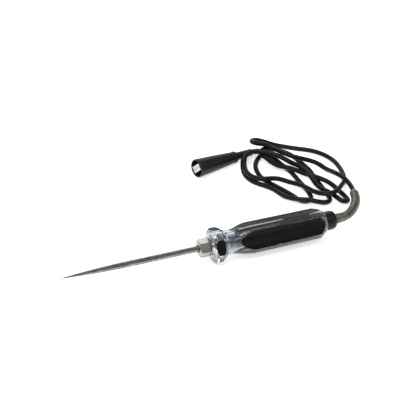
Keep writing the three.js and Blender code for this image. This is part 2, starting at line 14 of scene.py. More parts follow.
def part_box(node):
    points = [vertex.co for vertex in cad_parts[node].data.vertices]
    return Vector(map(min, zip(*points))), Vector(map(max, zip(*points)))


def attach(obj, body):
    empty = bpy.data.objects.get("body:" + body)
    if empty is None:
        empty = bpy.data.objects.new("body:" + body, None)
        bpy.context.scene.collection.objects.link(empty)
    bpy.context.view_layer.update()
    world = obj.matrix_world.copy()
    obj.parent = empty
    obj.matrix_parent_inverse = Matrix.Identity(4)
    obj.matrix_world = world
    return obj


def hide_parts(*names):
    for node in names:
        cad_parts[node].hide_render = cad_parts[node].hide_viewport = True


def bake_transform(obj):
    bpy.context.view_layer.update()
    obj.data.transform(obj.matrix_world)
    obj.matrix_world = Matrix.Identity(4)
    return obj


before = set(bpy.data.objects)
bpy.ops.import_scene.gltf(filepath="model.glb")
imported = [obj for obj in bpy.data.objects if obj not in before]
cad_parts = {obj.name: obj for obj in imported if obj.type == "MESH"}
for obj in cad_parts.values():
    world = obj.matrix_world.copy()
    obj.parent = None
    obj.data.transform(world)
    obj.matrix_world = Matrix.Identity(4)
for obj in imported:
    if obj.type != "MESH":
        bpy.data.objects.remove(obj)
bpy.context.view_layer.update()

# %% [markdown]
# Blender works in metres and a maker of small tools in millimetres, so one constant turns one into the
# other. The tool lies along X, and its axis is half way up the handle. A few stations along that axis
# are read from the frame once and used everywhere after.

# %% Measures from the frame
MM = 0.001


def low(node):
    return Vector(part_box(node)[0])


def high(node):
    return Vector(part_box(node)[1])


def span(node):
    """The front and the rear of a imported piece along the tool, in mm."""
    return low(node).x / MM, high(node).x / MM


AXIS_Z = (low("handle_body").z + high("handle_body").z) / 2
TIP, PROBE_REAR = span("probe_needle")
COLLAR_FRONT = span("collar_nut")[0]
HANDLE_FRONT, HANDLE_REAR = span("handle_body")
CAP_REAR = span("rear_cap")[1]
# The clearance between pieces that fit into or seat on each other.
GAP = 0.3
print(f"axis {AXIS_Z / MM:.2f} mm up, probe tip at {TIP:.1f} mm, cap ends at {CAP_REAR:.1f} mm")

# %% [markdown]
# ## Camera
# The tool is seen from its left and a little from above, from about a metre away with a long lens, as
# a catalogue shows it. A camera placed by an angle round the object and an angle above the table is
# easier to adjust than one placed by hand: two angles, a distance and the point it looks at.

# %% Camera
VIEW_AZIMUTH = math.radians(-21.49)
VIEW_ELEVATION = math.radians(32)
VIEW_DISTANCE = 1.1
VIEW_LENS = 120.9
SENSOR_WIDTH = 36
VIEW_AIM = Vector((0.02545, 0.0476, AXIS_Z))

backwards = Vector((
    math.sin(VIEW_AZIMUTH) * math.cos(VIEW_ELEVATION),
    -math.cos(VIEW_AZIMUTH) * math.cos(VIEW_ELEVATION),
    math.sin(VIEW_ELEVATION),
))
camera = bpy.data.objects.new("camera", bpy.data.cameras.new("camera"))
bpy.context.collection.objects.link(camera)
camera.data.sensor_width = SENSOR_WIDTH
camera.data.lens = VIEW_LENS
camera.location = VIEW_AIM + backwards * VIEW_DISTANCE
camera.rotation_euler = (-backwards).to_track_quat("-Z", "Y").to_euler()
bpy.context.scene.camera = camera
print("camera at", [round(value, 3) for value in camera.location])

# %% [markdown]
# ## Small helpers for mesh work
# Every piece begins as a primitive and is worked on in edit mode, as by hand. Operators act on all that
# is selected, so each piece starts by letting go of everything else.

# %% Selecting and finishing
WELD = 0.001


def let_go():
    """Nothing is selected afterwards, and no object is being edited."""
    if bpy.context.object and bpy.context.object.mode != "OBJECT":
        bpy.ops.object.mode_set(mode="OBJECT")
    bpy.ops.object.select_all(action="DESELECT")


def pick(obj):
    """Only this object is selected afterwards, and operators act on it."""
    let_go()
    bpy.context.view_layer.objects.active = obj
    obj.select_set(True)


def newest(name):
    """Names the primitive that was just added, and puts its place into its mesh."""
    obj = bpy.context.object
    obj.name = name
    obj.data.name = name
    bpy.ops.object.transform_apply(location=True, rotation=True, scale=True)
    return obj


def place(obj, matrix):
    """Moves the mesh itself, so that the object stays at the origin."""
    pick(obj)
    obj.matrix_world = matrix
    bpy.ops.object.transform_apply(location=True, rotation=True, scale=True)


def close_up():
    """In edit mode: welds doubles and turns every face outwards."""
    bpy.ops.mesh.select_all(action="SELECT")
    bpy.ops.mesh.remove_doubles(threshold=WELD * MM)
    bpy.ops.mesh.normals_make_consistent(inside=False)


def smooth(obj, angle=35):
    """Shades the object smooth, apart from edges sharper than an angle in degrees."""
    pick(obj)
    bpy.ops.object.shade_smooth_by_angle(angle=math.radians(angle))


def apply_modifier(obj, kind, **settings):
    """Adds a modifier with its settings and applies it at once."""
    pick(obj)
    modifier = obj.modifiers.new(kind.lower(), kind)
    for name, value in settings.items():
        setattr(modifier, name, value)
    bpy.ops.object.modifier_apply(modifier=modifier.name)


# %% [markdown]
# Most of this tool is turned on a lathe or moulded round, so most pieces are drawn as half an outline
# and spun about the axis. The outline starts as a plane merged to one point, which is then extruded from
# corner to corner. The spin's last step falls on its first, so the doubles are welded.

# %% Turning a piece
AXIS = Matrix.Translation((0, 0, AXIS_Z))


def drawn(name, points):
    """A line of edges through the points. It stays in edit mode, with all of it selected."""
    let_go()
    bpy.ops.mesh.primitive_plane_add(size=MM, location=points[0])
    obj = newest(name)
    bpy.ops.object.mode_set(mode="EDIT")
    bpy.ops.mesh.merge(type="CENTER")
    for start, end in zip(points, points[1:]):
        bpy.ops.mesh.extrude_region_move(TRANSFORM_OT_translate={"value": end - start})
    bpy.ops.mesh.select_all(action="SELECT")
    return obj


def turned(name, outline, steps, closed=False, where=AXIS, angle=35):
    """A body of revolution about X from [x, radius] corners in mm, put where the matrix says."""
    points = [Vector((x, 0, radius)) * MM for x, radius in outline]
    obj = drawn(name, points + points[:1] if closed else points)
    bpy.ops.mesh.spin(steps=steps, angle=2 * math.pi, center=(0, 0, 0), axis=(1, 0, 0))
    close_up()
    bpy.ops.object.mode_set(mode="OBJECT")
    place(obj, where)
    smooth(obj, angle)
    return obj


def arc(x, radius, length, end_radius, steps):
    """Corners of a quarter round, from [x, radius] to end_radius at x + length."""
    corners = []
    for step in range(steps + 1):
        turn = step / steps * math.pi / 2
        corners.append((x + length * math.sin(turn), end_radius + (radius - end_radius) * math.cos(turn)))
    return corners


def bow(start, middle, end, steps):
    """Corners of a shallow bow from start to end, pulled towards middle."""
    corners = []
    for step in range(steps + 1):
        t = step / steps
        weights = ((1 - t) ** 2, 2 * t * (1 - t), t * t)
        corners.append(tuple(sum(w * p[i] for w, p in zip(weights, (start, middle, end))) for i in (0, 1)))
    return corners


def ease(start, end, steps):
    """Corners of an S-shaped run that leaves and arrives level."""
    corners = []
    for step in range(steps + 1):
        t = step / steps
        share = t * t * (3 - 2 * t)
        corners.append((start[0] + (end[0] - start[0]) * t, start[1] + (end[1] - start[1]) * share))
    return corners


# %% [markdown]
# Springs are round wire wound on a mandrel. The wire's section is a circle, and the Screw modifier winds
# it. The modifier leaves the two ends open, so they are filled.

# %% Winding a spring


def wound(name, start, radius, wire, pitch, turns, sides, steps):
    """A coil of wire about X from x = start, all in mm. It stays about the world's X axis."""
    let_go()
    bpy.ops.mesh.primitive_circle_add(
        vertices=sides, radius=wire * MM, location=(start * MM, 0, radius * MM), rotation=(math.pi / 2, 0, 0)
    )
    obj = newest(name)
    apply_modifier(
        obj, "SCREW", axis="X", screw_offset=pitch * MM, iterations=turns, steps=steps, render_steps=steps
    )
    bpy.ops.object.mode_set(mode="EDIT")
    close_up()
    bpy.ops.mesh.fill_holes(sides=sides)
    bpy.ops.mesh.normals_make_consistent(inside=False)
    bpy.ops.object.mode_set(mode="OBJECT")
    smooth(obj, 60)
    return obj


# %% [markdown]
# ## The lead
# A test lead is a soft rubber cord round fine copper strands, and it lies as it fell: out of the strain
# relief, then in loose turns that are drawn out to the left and right and cross each other, and into the
# back of the clip. No two turns of a dropped lead are alike, so its way is a given list of points, as one
# would draw it with a curve tool from above. Heights are worked out afterwards.

# %% Route of the lead on the table
LEAD_RADIUS = 2.0
LEAD_DIAMETER = 2 * LEAD_RADIUS
AXIS_HEIGHT = AXIS_Z / MM
SEAT_START = 5.1

relief_route = [
    (-SEAT_START, 0, AXIS_HEIGHT),
    (0, 0, AXIS_HEIGHT),
    (9.9, 1.2, 13.5),
    (17.5, 6.2, 13),
    (23, 12.3, 12.3),
    (28, 19.2, 11.4),
    (32.2, 27.3, 10.4),
    (35.5, 36.5, 9.2),
]
run_route = [(38.2, 43, 6.6)]
# Inside the boot the lead follows the clip's own axis.
tail_route = [
    (-2.6, 138.6, 2.2),
    (-8.01, 137.13, 3.41),
    (-11.85, 136.06, 3.7),
    (-28.19, 131.53, 4.92),
    (-33, 130.2, 5.28),
]
# The loose turns as seen from above: out from the strain relief to the far left, round four times, home.
turns_route = [
    (38.6, 59), (36.3, 72.9), (34.4, 92.5), (24.7, 96.7), (14.2, 98.9), (6.1, 106.5), (1.2, 118.7),
    (-2.7, 128.1), (-8.8, 132.6), (-14.1, 135.8), (-13.2, 141), (-7.6, 144.7), (1.9, 143.7), (13.9, 141.5),
    (21.6, 135.1), (28.5, 129.6), (37.3, 123.4), (44.5, 113.6), (48.5, 99.9), (47.5, 83.6), (43.7, 69.7),
    (36, 57.3), (23.8, 43.6), (16.2, 40.5), (11.4, 44.5), (8.8, 53), (5.3, 64.4), (1, 74.5),
    (-5.5, 82.5), (-13.7, 86.6), (-22.3, 87.5), (-28, 92.3), (-30.2, 100.9), (-28.9, 111), (-24.1, 120.9),
    (-18.6, 124.2), (-12.3, 121.5), (-5.6, 115.9), (1.9, 109.7), (7.6, 102), (11.3, 95), (14, 87.1),
    (14.6, 75.1), (14.9, 61.3), (18.5, 52.3), (22.2, 43.5), (23.7, 35.1), (24.7, 29.2), (27.9, 28.9),
    (31, 34), (32.1, 42.9), (30.5, 55.6), (26.4, 65.9), (19.6, 75.8), (13.1, 86.1), (6.3, 96.1),
    (-1.4, 104.4), (-6.3, 113.9), (-9.5, 121.3), (-10.8, 126.1), (-8, 130), (-3.5, 130.1), (1.8, 126.3),
    (7.5, 122.3), (13.9, 118.5), (18.6, 113.3), (21.7, 104.8), (22.8, 93.2), (21.5, 79.5), (20.7, 65.9),
    (19.9, 53.5), (19, 44.5), (16.7, 38.2), (12.4, 36.6), (8.5, 40), (4.7, 43.7), (-2.6, 47.1),
    (-9.4, 51.5), (-14.1, 60.5), (-16.7, 74.6), (-21.7, 83.4), (-27.5, 90.8), (-30.4, 101.1), (-28.9, 113.6),
    (-23.4, 125.8), (-16.4, 131.8), (-8.8, 132.2), (-2.2, 126.2), (2.5, 115.8), (5.8, 105.1), (7.3, 95.6),
    (7.1, 85.2), (7.3, 73.3), (7.4, 62.6), (5.5, 51.9), (4.3, 45.2), (-1.3, 44.9), (-4.4, 50.2),
    (-6.7, 59.8), (-10.4, 71.3), (-15.4, 82.6), (-19.1, 93.4), (-19.2, 105.4), (-16.5, 116.6), (-10.9, 125.4),
    (-4.4, 131), (-0.2, 137.4), (-0.4, 142.5),
]
turns_points = [(x, y, LEAD_RADIUS) for x, y in turns_route]
hand_points = relief_route + run_route + turns_points + tail_route
print("the lead's route has", len(hand_points), "points")

# %% [markdown]
# The points are joined by a smooth line, and each point of the line is averaged with its neighbours a
# few times. Rubber doesn't fold sharply, so where the line still bends more than the lead would, it is
# averaged again, only there, which rounds off the tips of the turns.

# %% Smooth line through the points
STEP = 1.5
SOFTENING = 14
UNFOLDING = 30
TIGHTEST = 6.8


def smooth_line(points):
    """A Catmull-Rom line through the points, in steps of about STEP mm."""
    known = np.array(points, float)
    known = np.vstack([2 * known[0] - known[1], known, 2 * known[-1] - known[-2]])
    line = []
    for a, b, c, d in zip(known, known[1:], known[2:], known[3:]):
        pieces = max(2, int(np.linalg.norm(c - b) / STEP))
        for t in np.arange(pieces) / pieces:
            cubic = -a + 3 * b - 3 * c + d
            line.append(0.5 * (2 * b + (c - a) * t + (2 * a - 5 * b + 4 * c - d) * t**2 + cubic * t**3))
    line.append(known[-2])
    return np.array(line)


def along(line):
    """Distance along a line at each of its points."""
    return np.concatenate([[0], np.cumsum(np.linalg.norm(np.diff(line, axis=0), axis=1))])


def even(line, step):
    """The same line with its points evenly spaced."""
    distance = along(line)
    wanted = np.linspace(0, distance[-1], int(distance[-1] / step))
    return np.stack([np.interp(wanted, distance, line[:, axis]) for axis in range(3)], 1)


def soften(line, first, last, rounds, columns=slice(0, 3)):
    """Averages each point between first and last with its neighbours."""
    for _ in range(rounds):
        before, after = line[first - 1 : last - 1, columns], line[first + 1 : last + 1, columns]
        line[first:last, columns] = (before + 2 * line[first:last, columns] + after) / 4
    return line


# The strain relief holds the lead's first stretch, and the boot holds its last 18 points.
fixed_start = len(smooth_line(relief_route))
fixed_end = 18
lead_line = smooth_line(hand_points)
lead_line = even(soften(lead_line, fixed_start, len(lead_line) - fixed_end, SOFTENING), STEP)


def unfold(line):
    """Averages the line wherever it bends tighter than the lead would."""
    for _ in range(UNFOLDING):
        speed = np.gradient(line, axis=0)
        turn = np.linalg.norm(np.cross(speed, np.gradient(speed, axis=0)), axis=1)
        bend = np.convolve(turn / np.linalg.norm(speed, axis=1) ** 3, np.ones(3) / 3, "same")
        # The line may be eased a little way into the boot, so that the lead enters it in one bend.
        bend[:fixed_start] = 0
        bend[6 - fixed_end :] = 0
        tight = np.convolve(bend > 1 / TIGHTEST, np.ones(7), "same") > 0
        tight[:fixed_start] = False
        tight[4 - fixed_end :] = False
        softer = line.copy()
        softer[1:-1] = (line[:-2] + 2 * line[1:-1] + line[2:]) / 4
        line[tight] = softer[tight]
    return line


lead_line = even(unfold(lead_line), STEP)
print(f"the lead is {along(lead_line)[-1]:.0f} mm long on the table")

# %% [markdown]
# A cord that crosses itself has to climb over what already lies there. The lead is laid down from the
# clip's end: wherever it comes within a diameter of an earlier stretch, it is lifted to rest on it, and
# the lift falls away on both sides as a long low hump, as stiff rubber makes it.

# %% Laying the lead down over itself
HUMP_REACH = 22
APART = 14
SETTLING = 12


def lay_down(line, first):
    """Lifts the line over what lies beneath it, if that is at least APART further along the lead."""
    distance = along(line)
    height = line[:, 2].copy()
    for i in range(len(line) - fixed_end, first, -1):
        under = np.where(distance > distance[i] + APART)[0]
        gap = np.sum((line[under, :2] - line[i, :2]) ** 2, 1)
        near = gap < LEAD_DIAMETER**2
        if not near.any():
            continue
        needed = (height[under][near] + np.sqrt(LEAD_DIAMETER**2 - gap[near])).max()
        if needed > height[i]:
            hump = needed - ((distance - distance[i]) / HUMP_REACH) ** 2 * LEAD_DIAMETER
            height[first:-fixed_end] = np.maximum(height[first:-fixed_end], hump[first:-fixed_end])
    line[:, 2] = height
    return line


lead_line = lay_down(lead_line, fixed_start)
lead_line = soften(lead_line, fixed_start, len(lead_line) - fixed_end, SETTLING, 2)
lead_line = even(lead_line, STEP)
lead_line[:, 0] += CAP_REAR
print(f"laid down it is {along(lead_line)[-1]:.0f} mm long and {lead_line[:, 2].max():.1f} mm high")

# %% [markdown]
# The line becomes a Bezier curve with a round section, which is how a cord is drawn in Blender. It is
# turned into a mesh at once, so that its measured bounds are those of the cord itself.

# %% The lead as a curve
LEAD_POINT_SPACING = 6.0
PATH_SPACING = 3.0


def curve_along(name, points, radius=0.0):
    """A Bezier curve through points in mm, round in section if it has a radius."""
    data = bpy.data.curves.new(name, "CURVE")
    data.dimensions = "3D"
    data.bevel_depth = radius * MM
    data.bevel_resolution = 4
    data.resolution_u = 4
    data.use_fill_caps = True
    spline = data.splines.new("BEZIER")
    spline.bezier_points.add(len(points) - 1)
    for bezier, point in zip(spline.bezier_points, points):
        bezier.co = Vector(point) * MM
        bezier.handle_left_type = "AUTO"
        bezier.handle_right_type = "AUTO"
    obj = bpy.data.objects.new(name, data)
    bpy.context.collection.objects.link(obj)
    return obj


lead_points = even(lead_line, LEAD_POINT_SPACING)
lead = curve_along("test_lead", lead_points, LEAD_RADIUS)
pick(lead)
bpy.ops.object.convert(target="MESH")
lead = bpy.context.object
smooth(lead, 60)
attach(lead, "handle")
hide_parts("lead_run", "lead_coil", "lead_tail")

# %% [markdown]
# ## Materials
# Colours are written as they look on a screen and turned to linear light by one function. Another adds a
# shader node with its settings and links in one go, so each finish below reads as a short recipe.

# %% Colour and node helpers


def srgb(code):
    """A screen colour such as b8b8b6 as linear light with alpha."""
    channels = [int(code[i : i + 2], 16) / 255 for i in (0, 2, 4)]
    linear = [c / 12.92 if c <= 0.04045 else ((c + 0.055) / 1.055) ** 2.4 for c in channels]
    return (*linear, 1.0)


def add_node(tree, kind, settings=None, links=None):
    """A node with its properties and sockets set; links maps an input's name to an output socket."""
    node = tree.nodes.new(kind)
    for name, value in (settings or {}).items():
        if name in node.inputs:
            node.inputs[name].default_value = value
        else:
            setattr(node, name, value)
    for name, output in (links or {}).items():
        tree.links.new(output, node.inputs[name])
    return node


def ramp(tree, factor, *stops):
    """A colour ramp through [place, colour code] stops."""
    node = add_node(tree, "ShaderNodeValToRGB", links={"Fac": factor})
    while len(node.color_ramp.elements) < len(stops):
        node.color_ramp.elements.new(0.5)
    for element, (place_on_ramp, code) in zip(node.color_ramp.elements, stops):
        element.position = place_on_ramp
        element.color = srgb(code)
    return node.outputs["Color"]


def noise(tree, position, cell_mm, detail=3.0, stretch=None):
    """Noise whose cells are about cell_mm wide, stretched along an axis if three factors are given."""
    if stretch:
        scaled = add_node(tree, "ShaderNodeVectorMath", {"operation": "MULTIPLY"}, {"Vector": position})
        scaled.inputs[1].default_value = stretch
        position = scaled.outputs["Vector"]
    settings = {"Scale": 1 / (cell_mm * MM), "Detail": detail}
    return add_node(tree, "ShaderNodeTexNoise", settings, {"Vector": position}).outputs["Fac"]


def remap(tree, value, low_end, high_end):
    """A 0 to 1 value spread over another range."""
    settings = {"To Min": low_end, "To Max": high_end}
    return add_node(tree, "ShaderNodeMapRange", settings, {"Value": value}).outputs["Result"]


def start_material(name):
    """An empty node material: its tree, its surface shader and the object's own coordinates."""
    material = bpy.data.materials.new(name)
    material.use_nodes = True
    tree = material.node_tree
    shader = next(node for node in tree.nodes if node.type == "BSDF_PRINCIPLED")
    position = add_node(tree, "ShaderNodeTexCoord").outputs["Object"]
    return material, tree, shader, position


def bump(tree, shader, height, depth_mm):
    """Turns a 0 to 1 height into relief depth_mm deep."""
    settings = {"Distance": depth_mm * MM, "Strength": 1.0}
    node = add_node(tree, "ShaderNodeBump", settings, {"Height": height})
    tree.links.new(node.outputs["Normal"], shader.inputs["Normal"])


# %% [markdown]
# **Ground steel.** The probe is hardened steel drawn to size and ground to a point. Grinding leaves fine
# lines round the shaft, which spread the highlight along it; handling leaves faint darker patches.

# %% Metals
METAL_RELIEF = 0.004
METAL_SPREAD = 0.06


def metal(name, dark, light, roughness, cell_mm, stretch=None):
    """A bare or plated metal: two shades mottled by fine noise, and a roughness that varies with it."""
    material, tree, shader, position = start_material(name)
    grain = noise(tree, position, cell_mm, stretch=stretch)
    stain = noise(tree, position, cell_mm * 9, detail=2.0)
    shade = add_node(tree, "ShaderNodeMath", {"operation": "MULTIPLY"}, {0: grain, 1: stain})
    spread_out = remap(tree, shade.outputs["Value"], -0.4, 2.6)
    tree.links.new(ramp(tree, spread_out, (0.0, dark), (1.0, light)), shader.inputs["Base Color"])
    rough = remap(tree, grain, roughness - METAL_SPREAD, roughness + METAL_SPREAD)
    tree.links.new(rough, shader.inputs["Roughness"])
    shader.inputs["Metallic"].default_value = 1.0
    bump(tree, shader, grain, METAL_RELIEF)
    return material


ground_steel = metal("steel_ground", "73746f", "a2a39e", 0.26, 0.35, stretch=(6, 1, 1))
bright_steel = metal("steel_stamped_bright", "b0afa8", "d6d5cf", 0.3, 0.5)
# Nickel plate is warmer than steel and softer in its reflections, because the blank under it was milled.
satin_nickel = metal("nickel_satin_plate", "9b9a95", "bfbeb9", 0.3, 0.6)
# Music wire keeps the greyish oil-tempered skin it was drawn with.
music_wire = metal("steel_music_wire", "8b8b88", "c0bfbb", 0.34, 0.25)
# The strain relief's wire is left unplated; its darker colour is painted shade between its turns.
relief_wire_painted_shade = metal("steel_wire_painted_shade", "6c6b65", "9a9992", 0.4, 0.3)
brass = metal("brass_spun", "a8894a", "d0b673", 0.3, 0.4)
# The lamp's shell is nickel-plated over its brass, so it looks grey through the plastic.
plated_brass = metal("brass_nickel_plated", "74767a", "a1a3a6", 0.3, 0.4)
tungsten = metal("tungsten_wire", "5c5a58", "85827e", 0.45, 0.2)
print("metals:", [m.name for m in bpy.data.materials])

# %% [markdown]
# **Clear acetate.** The handle is moulded in a clear plastic with a faint cold tint, so that the lamp can
# be seen lit inside. It is slightly greasy and scratched from use, which its roughness shows, and it has
# gone a little milky with age, so it isn't wholly clear.

# %% Clear plastics and glass
CLEAR_MOTTLE = 0.15


def clear(name, code, ior, roughness, spread, cell_mm, relief_mm, clarity=1.0):
    """A see-through material with a tint, and a roughness that varies with handling."""
    material, tree, shader, position = start_material(name)
    shader.inputs["Base Color"].default_value = srgb(code)
    shader.inputs["Transmission Weight"].default_value = clarity
    shader.inputs["IOR"].default_value = ior
    wear = noise(tree, position, cell_mm)
    tree.links.new(remap(tree, wear, roughness, roughness + spread), shader.inputs["Roughness"])
    tint = ramp(tree, noise(tree, position, cell_mm * 5), (0.2, code), (0.8, "ffffff"))
    mixed = add_node(tree, "ShaderNodeMix", {"data_type": "RGBA"})
    mixed.inputs["Factor"].default_value = CLEAR_MOTTLE
    mixed.inputs[6].default_value = srgb(code)
    tree.links.new(tint, mixed.inputs[7])
    tree.links.new(mixed.outputs[2], shader.inputs["Base Color"])
    bump(tree, shader, wear, relief_mm)
    return material


clear_acetate = clear("acetate_clear_moulded", "c6ccd2", 1.48, 0.03, 0.05, 2.5, 0.01, clarity=0.94)
lamp_glass = clear("glass_blown", "f4f6f6", 1.5, 0.0, 0.01, 4.0, 0.002)
lamp_insulator = clear("glass_insulator_dark", "30343c", 1.5, 0.1, 0.1, 1.0, 0.005)

# %% [markdown]
# **Black paint, plastic and rubber.** The flutes and flats of the handle are painted, which dries with a
# slight orange-peel skin. The cap is moulded plastic with a fine spark-eroded grain. The lead and boot
# are soft rubber: the softest highlight of all, dusty in the hollows.

# %% Black finishes


def dark(name, deep, pale, roughness, spread, cell_mm, relief_mm, shine):
    """A dyed or painted black, greyer where dust sits."""
    material, tree, shader, position = start_material(name)
    grain = noise(tree, position, cell_mm)
    dust = noise(tree, position, cell_mm * 14, detail=2.0)
    tree.links.new(ramp(tree, dust, (0.3, deep), (0.75, pale)), shader.inputs["Base Color"])
    tree.links.new(remap(tree, grain, roughness - spread, roughness + spread), shader.inputs["Roughness"])
    shader.inputs["Specular IOR Level"].default_value = shine
    bump(tree, shader, grain, relief_mm)
    return material


black_paint = dark("paint_black_dipped", "040405", "0b0b0d", 0.4, 0.06, 0.8, 0.02, 0.16)
black_plastic = dark("plastic_black_moulded", "08080a", "121214", 0.38, 0.06, 0.3, 0.015, 0.25)
lead_rubber = dark("rubber_lead_extruded", "08080a", "141415", 0.45, 0.06, 0.4, 0.012, 0.22)
boot_rubber = dark("rubber_boot_dipped", "0b0b0d", "17181a", 0.42, 0.07, 0.6, 0.025, 0.3)
print("materials:", len(bpy.data.materials))

# %% [markdown]
# A piece gets its material, the body it moves with and the imported nodes that it stands for, all in
# one call.

# %% Finishing a piece


def finish_piece(obj, material, body, slot, *nodes):
    """Gives the material only to a piece that has none yet: a carved piece may carry its own already."""
    if not any(obj.data.materials):
        obj.data.materials.clear()
        obj.data.materials.append(material)
    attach(obj, body)
    if nodes:
        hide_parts(*nodes)
    print(f"{obj.name}: {len(obj.data.polygons)} faces, {material.name}")


lead.data.materials.append(lead_rubber)

# %% [markdown]
# ## Floor and light
# A white table that runs out of sight, and soft light from large panels: one high on the left as the
# key, one on the right to fill, and one behind that draws bright edges on metal. The table is lit a
# little from beneath too, as a light table is, which keeps shadows faint; the surround is dimmer than
# the panels, so that metal and clear plastic have something darker to mirror.

# %% Floor and lights
FLOOR_SIZE = 60
FLOOR_GLOW = 0.65
SURROUND = 0.32

let_go()
bpy.ops.mesh.primitive_plane_add(size=FLOOR_SIZE, location=(0, 0, 0))
floor = newest("floor")
paper, paper_tree, paper_shader, paper_position = start_material("paper_white_sweep")
paper_fibre = noise(paper_tree, paper_position, 1.5)
paper_colour = ramp(paper_tree, paper_fibre, (0.0, "fafafa"), (1.0, "fdfdfd"))
paper_tree.links.new(paper_colour, paper_shader.inputs["Base Color"])
paper_shader.inputs["Roughness"].default_value = 0.9
paper_shader.inputs["Emission Color"].default_value = srgb("ffffff")
paper_shader.inputs["Emission Strength"].default_value = FLOOR_GLOW
floor.data.materials.append(paper)


def panel(name, location, size, power):
    """A square panel of light that faces the tool."""
    data = bpy.data.lights.new(name, "AREA")
    data.size = size
    data.energy = power
    light = bpy.data.objects.new(name, data)
    light.location = location
    light.rotation_euler = (VIEW_AIM - Vector(location)).to_track_quat("-Z", "Y").to_euler()
    bpy.context.collection.objects.link(light)


panel("key_light", (-0.5, -0.3, 1.2), 0.7, 9)
panel("fill_light", (0.9, -0.6, 0.9), 0.6, 2)
panel("back_light", (0.45, 1.2, 0.85), 1.0, 5)

world = bpy.data.worlds.new("studio")
bpy.context.scene.world = world
world.use_nodes = True
background = next(node for node in world.node_tree.nodes if node.type == "BACKGROUND")
background.inputs["Color"].default_value = srgb("ffffff")
background.inputs["Strength"].default_value = SURROUND
bpy.context.scene.view_settings.view_transform = "Standard"

# %% [markdown]
# ## Probe
# The probe is a rod of hardened steel ground to a long point. The point is slightly convex, because a
# straight cone would be weak behind its tip. The rear end has a small rounded face, which presses on the
# lamp.

# %% Probe needle
PROBE_RADIUS = 2.4
TIP_RADIUS = 0.25
TAPER = 46

point_side = bow(
    (TIP + TIP_RADIUS, TIP_RADIUS), (TIP + TAPER * 0.55, PROBE_RADIUS * 0.9), (TIP + TAPER, PROBE_RADIUS), 14
)
probe_outline = [(TIP, 0), (TIP + 0.08, 0.14), *point_side, (PROBE_REAR - 0.4, PROBE_RADIUS)]
probe_outline += [(PROBE_REAR, PROBE_RADIUS - 0.4), (PROBE_REAR, 0)]
probe = turned("probe", probe_outline, steps=48)
finish_piece(probe, ground_steel, "probe_unit", "probe_steel", "probe_needle")

# %% [markdown]
# ## Collar nut
# The collar is milled from hexagon bar. A tool turned across its front leaves the bright ring that every
# chamfered nut has: a cone that bites off the six corners. Here the bar is a cylinder with six sides,
# and the chamfer is a turned body that the bar is intersected with.

# %% Cutting one solid with another


def carve(obj, cutter, operation):
    """Boolean of obj with a cutter, which is used up. Cut faces take the cutter's material."""
    pick(obj)
    modifier = obj.modifiers.new("carve", "BOOLEAN")
    modifier.operation = operation
    modifier.object = cutter
    modifier.solver = "EXACT"
    modifier.material_mode = "TRANSFER"
    bpy.ops.object.modifier_apply(modifier=modifier.name)
    bpy.data.objects.remove(cutter)


def joined(obj, *others):
    """Joins the others into obj, as parts of one piece."""
    pick(obj)
    for other in others:
        other.select_set(True)
    bpy.ops.object.join()
    return obj


# %% [markdown]
# The nut is half an inch across its flats. Its long edges are broken by a fine bevel, and the chamfer
# body has the probe's bore in it, so one intersection makes the chamfer and the bore.

# %% Hexagon bar and its chamfer
ACROSS_FLATS = 12.7
EDGE_BREAK = 0.22
CORNER_RADIUS = ACROSS_FLATS / 2 / math.cos(math.radians(30))
CORNER_ANGLE = 32
COLLAR_REAR = HANDLE_FRONT - GAP
COLLAR_LENGTH = COLLAR_REAR - COLLAR_FRONT
PROBE_BORE = PROBE_RADIUS + GAP

let_go()
bpy.ops.mesh.primitive_cylinder_add(
    vertices=6, radius=CORNER_RADIUS * MM, depth=COLLAR_LENGTH * MM, rotation=(0, math.pi / 2, 0)
)
collar = newest("collar")
apply_modifier(
    collar, "BEVEL", width=EDGE_BREAK * MM, segments=3, limit_method="ANGLE", angle_limit=math.radians(50)
)
# The cylinder has a corner every 60 degrees from 30 degrees off the top, and the nut stands with a corner
# 32 degrees from the top towards the viewer's side.
collar_place = Matrix.Translation(((COLLAR_FRONT + COLLAR_REAR) / 2 * MM, 0, AXIS_Z))
place(collar, collar_place @ Matrix.Rotation(math.radians(CORNER_ANGLE - 30), 4, "X"))

face_edge = ACROSS_FLATS / 2 - 0.3
chamfer_outline = [
    (COLLAR_FRONT + 0.9, PROBE_BORE),
    (COLLAR_FRONT, PROBE_BORE + 0.7),
    (COLLAR_FRONT, face_edge - 0.25),
    (COLLAR_FRONT + 0.08, face_edge),
    (COLLAR_FRONT + 1.1, CORNER_RADIUS),
    (COLLAR_REAR - 0.4, CORNER_RADIUS + 0.05),
    (COLLAR_REAR + 1, face_edge),
    (COLLAR_REAR + 1, PROBE_BORE),
]
chamfer_body = turned("chamfer_body", chamfer_outline, steps=96, closed=True)
carve(collar, chamfer_body, "INTERSECT")
smooth(collar, 22)

# %% [markdown]
# Behind the hexagon is a threaded bushing, which screws into the handle and can be seen through the
# clear plastic. Its thread is one ridge wound round a plain core, 1.5 mm to a turn.

# %% Threaded bushing
BUSHING_RADIUS = 5.6
BUSHING_REAR = HANDLE_FRONT + 11
THREAD_PITCH = 1.5
THREAD_DEPTH = 0.55

core_radius = BUSHING_RADIUS - THREAD_DEPTH
core_outline = [
    (COLLAR_REAR - 0.6, PROBE_BORE),
    (COLLAR_REAR - 0.6, core_radius),
    (BUSHING_REAR - 0.5, core_radius),
    (BUSHING_REAR, core_radius - 0.5),
    (BUSHING_REAR, PROBE_BORE),
]
bushing_core = turned("bushing_core", core_outline, steps=48, closed=True)
thread_start = COLLAR_REAR + 0.7
thread_turns = int((BUSHING_REAR - COLLAR_REAR - 1) / THREAD_PITCH)
thread = wound("thread", thread_start, core_radius - 0.02, THREAD_DEPTH, THREAD_PITCH, thread_turns, 6, 36)
place(thread, AXIS)
joined(collar, bushing_core, thread)
finish_piece(collar, satin_nickel, "probe_unit", "collar_nickel", "collar_nut")

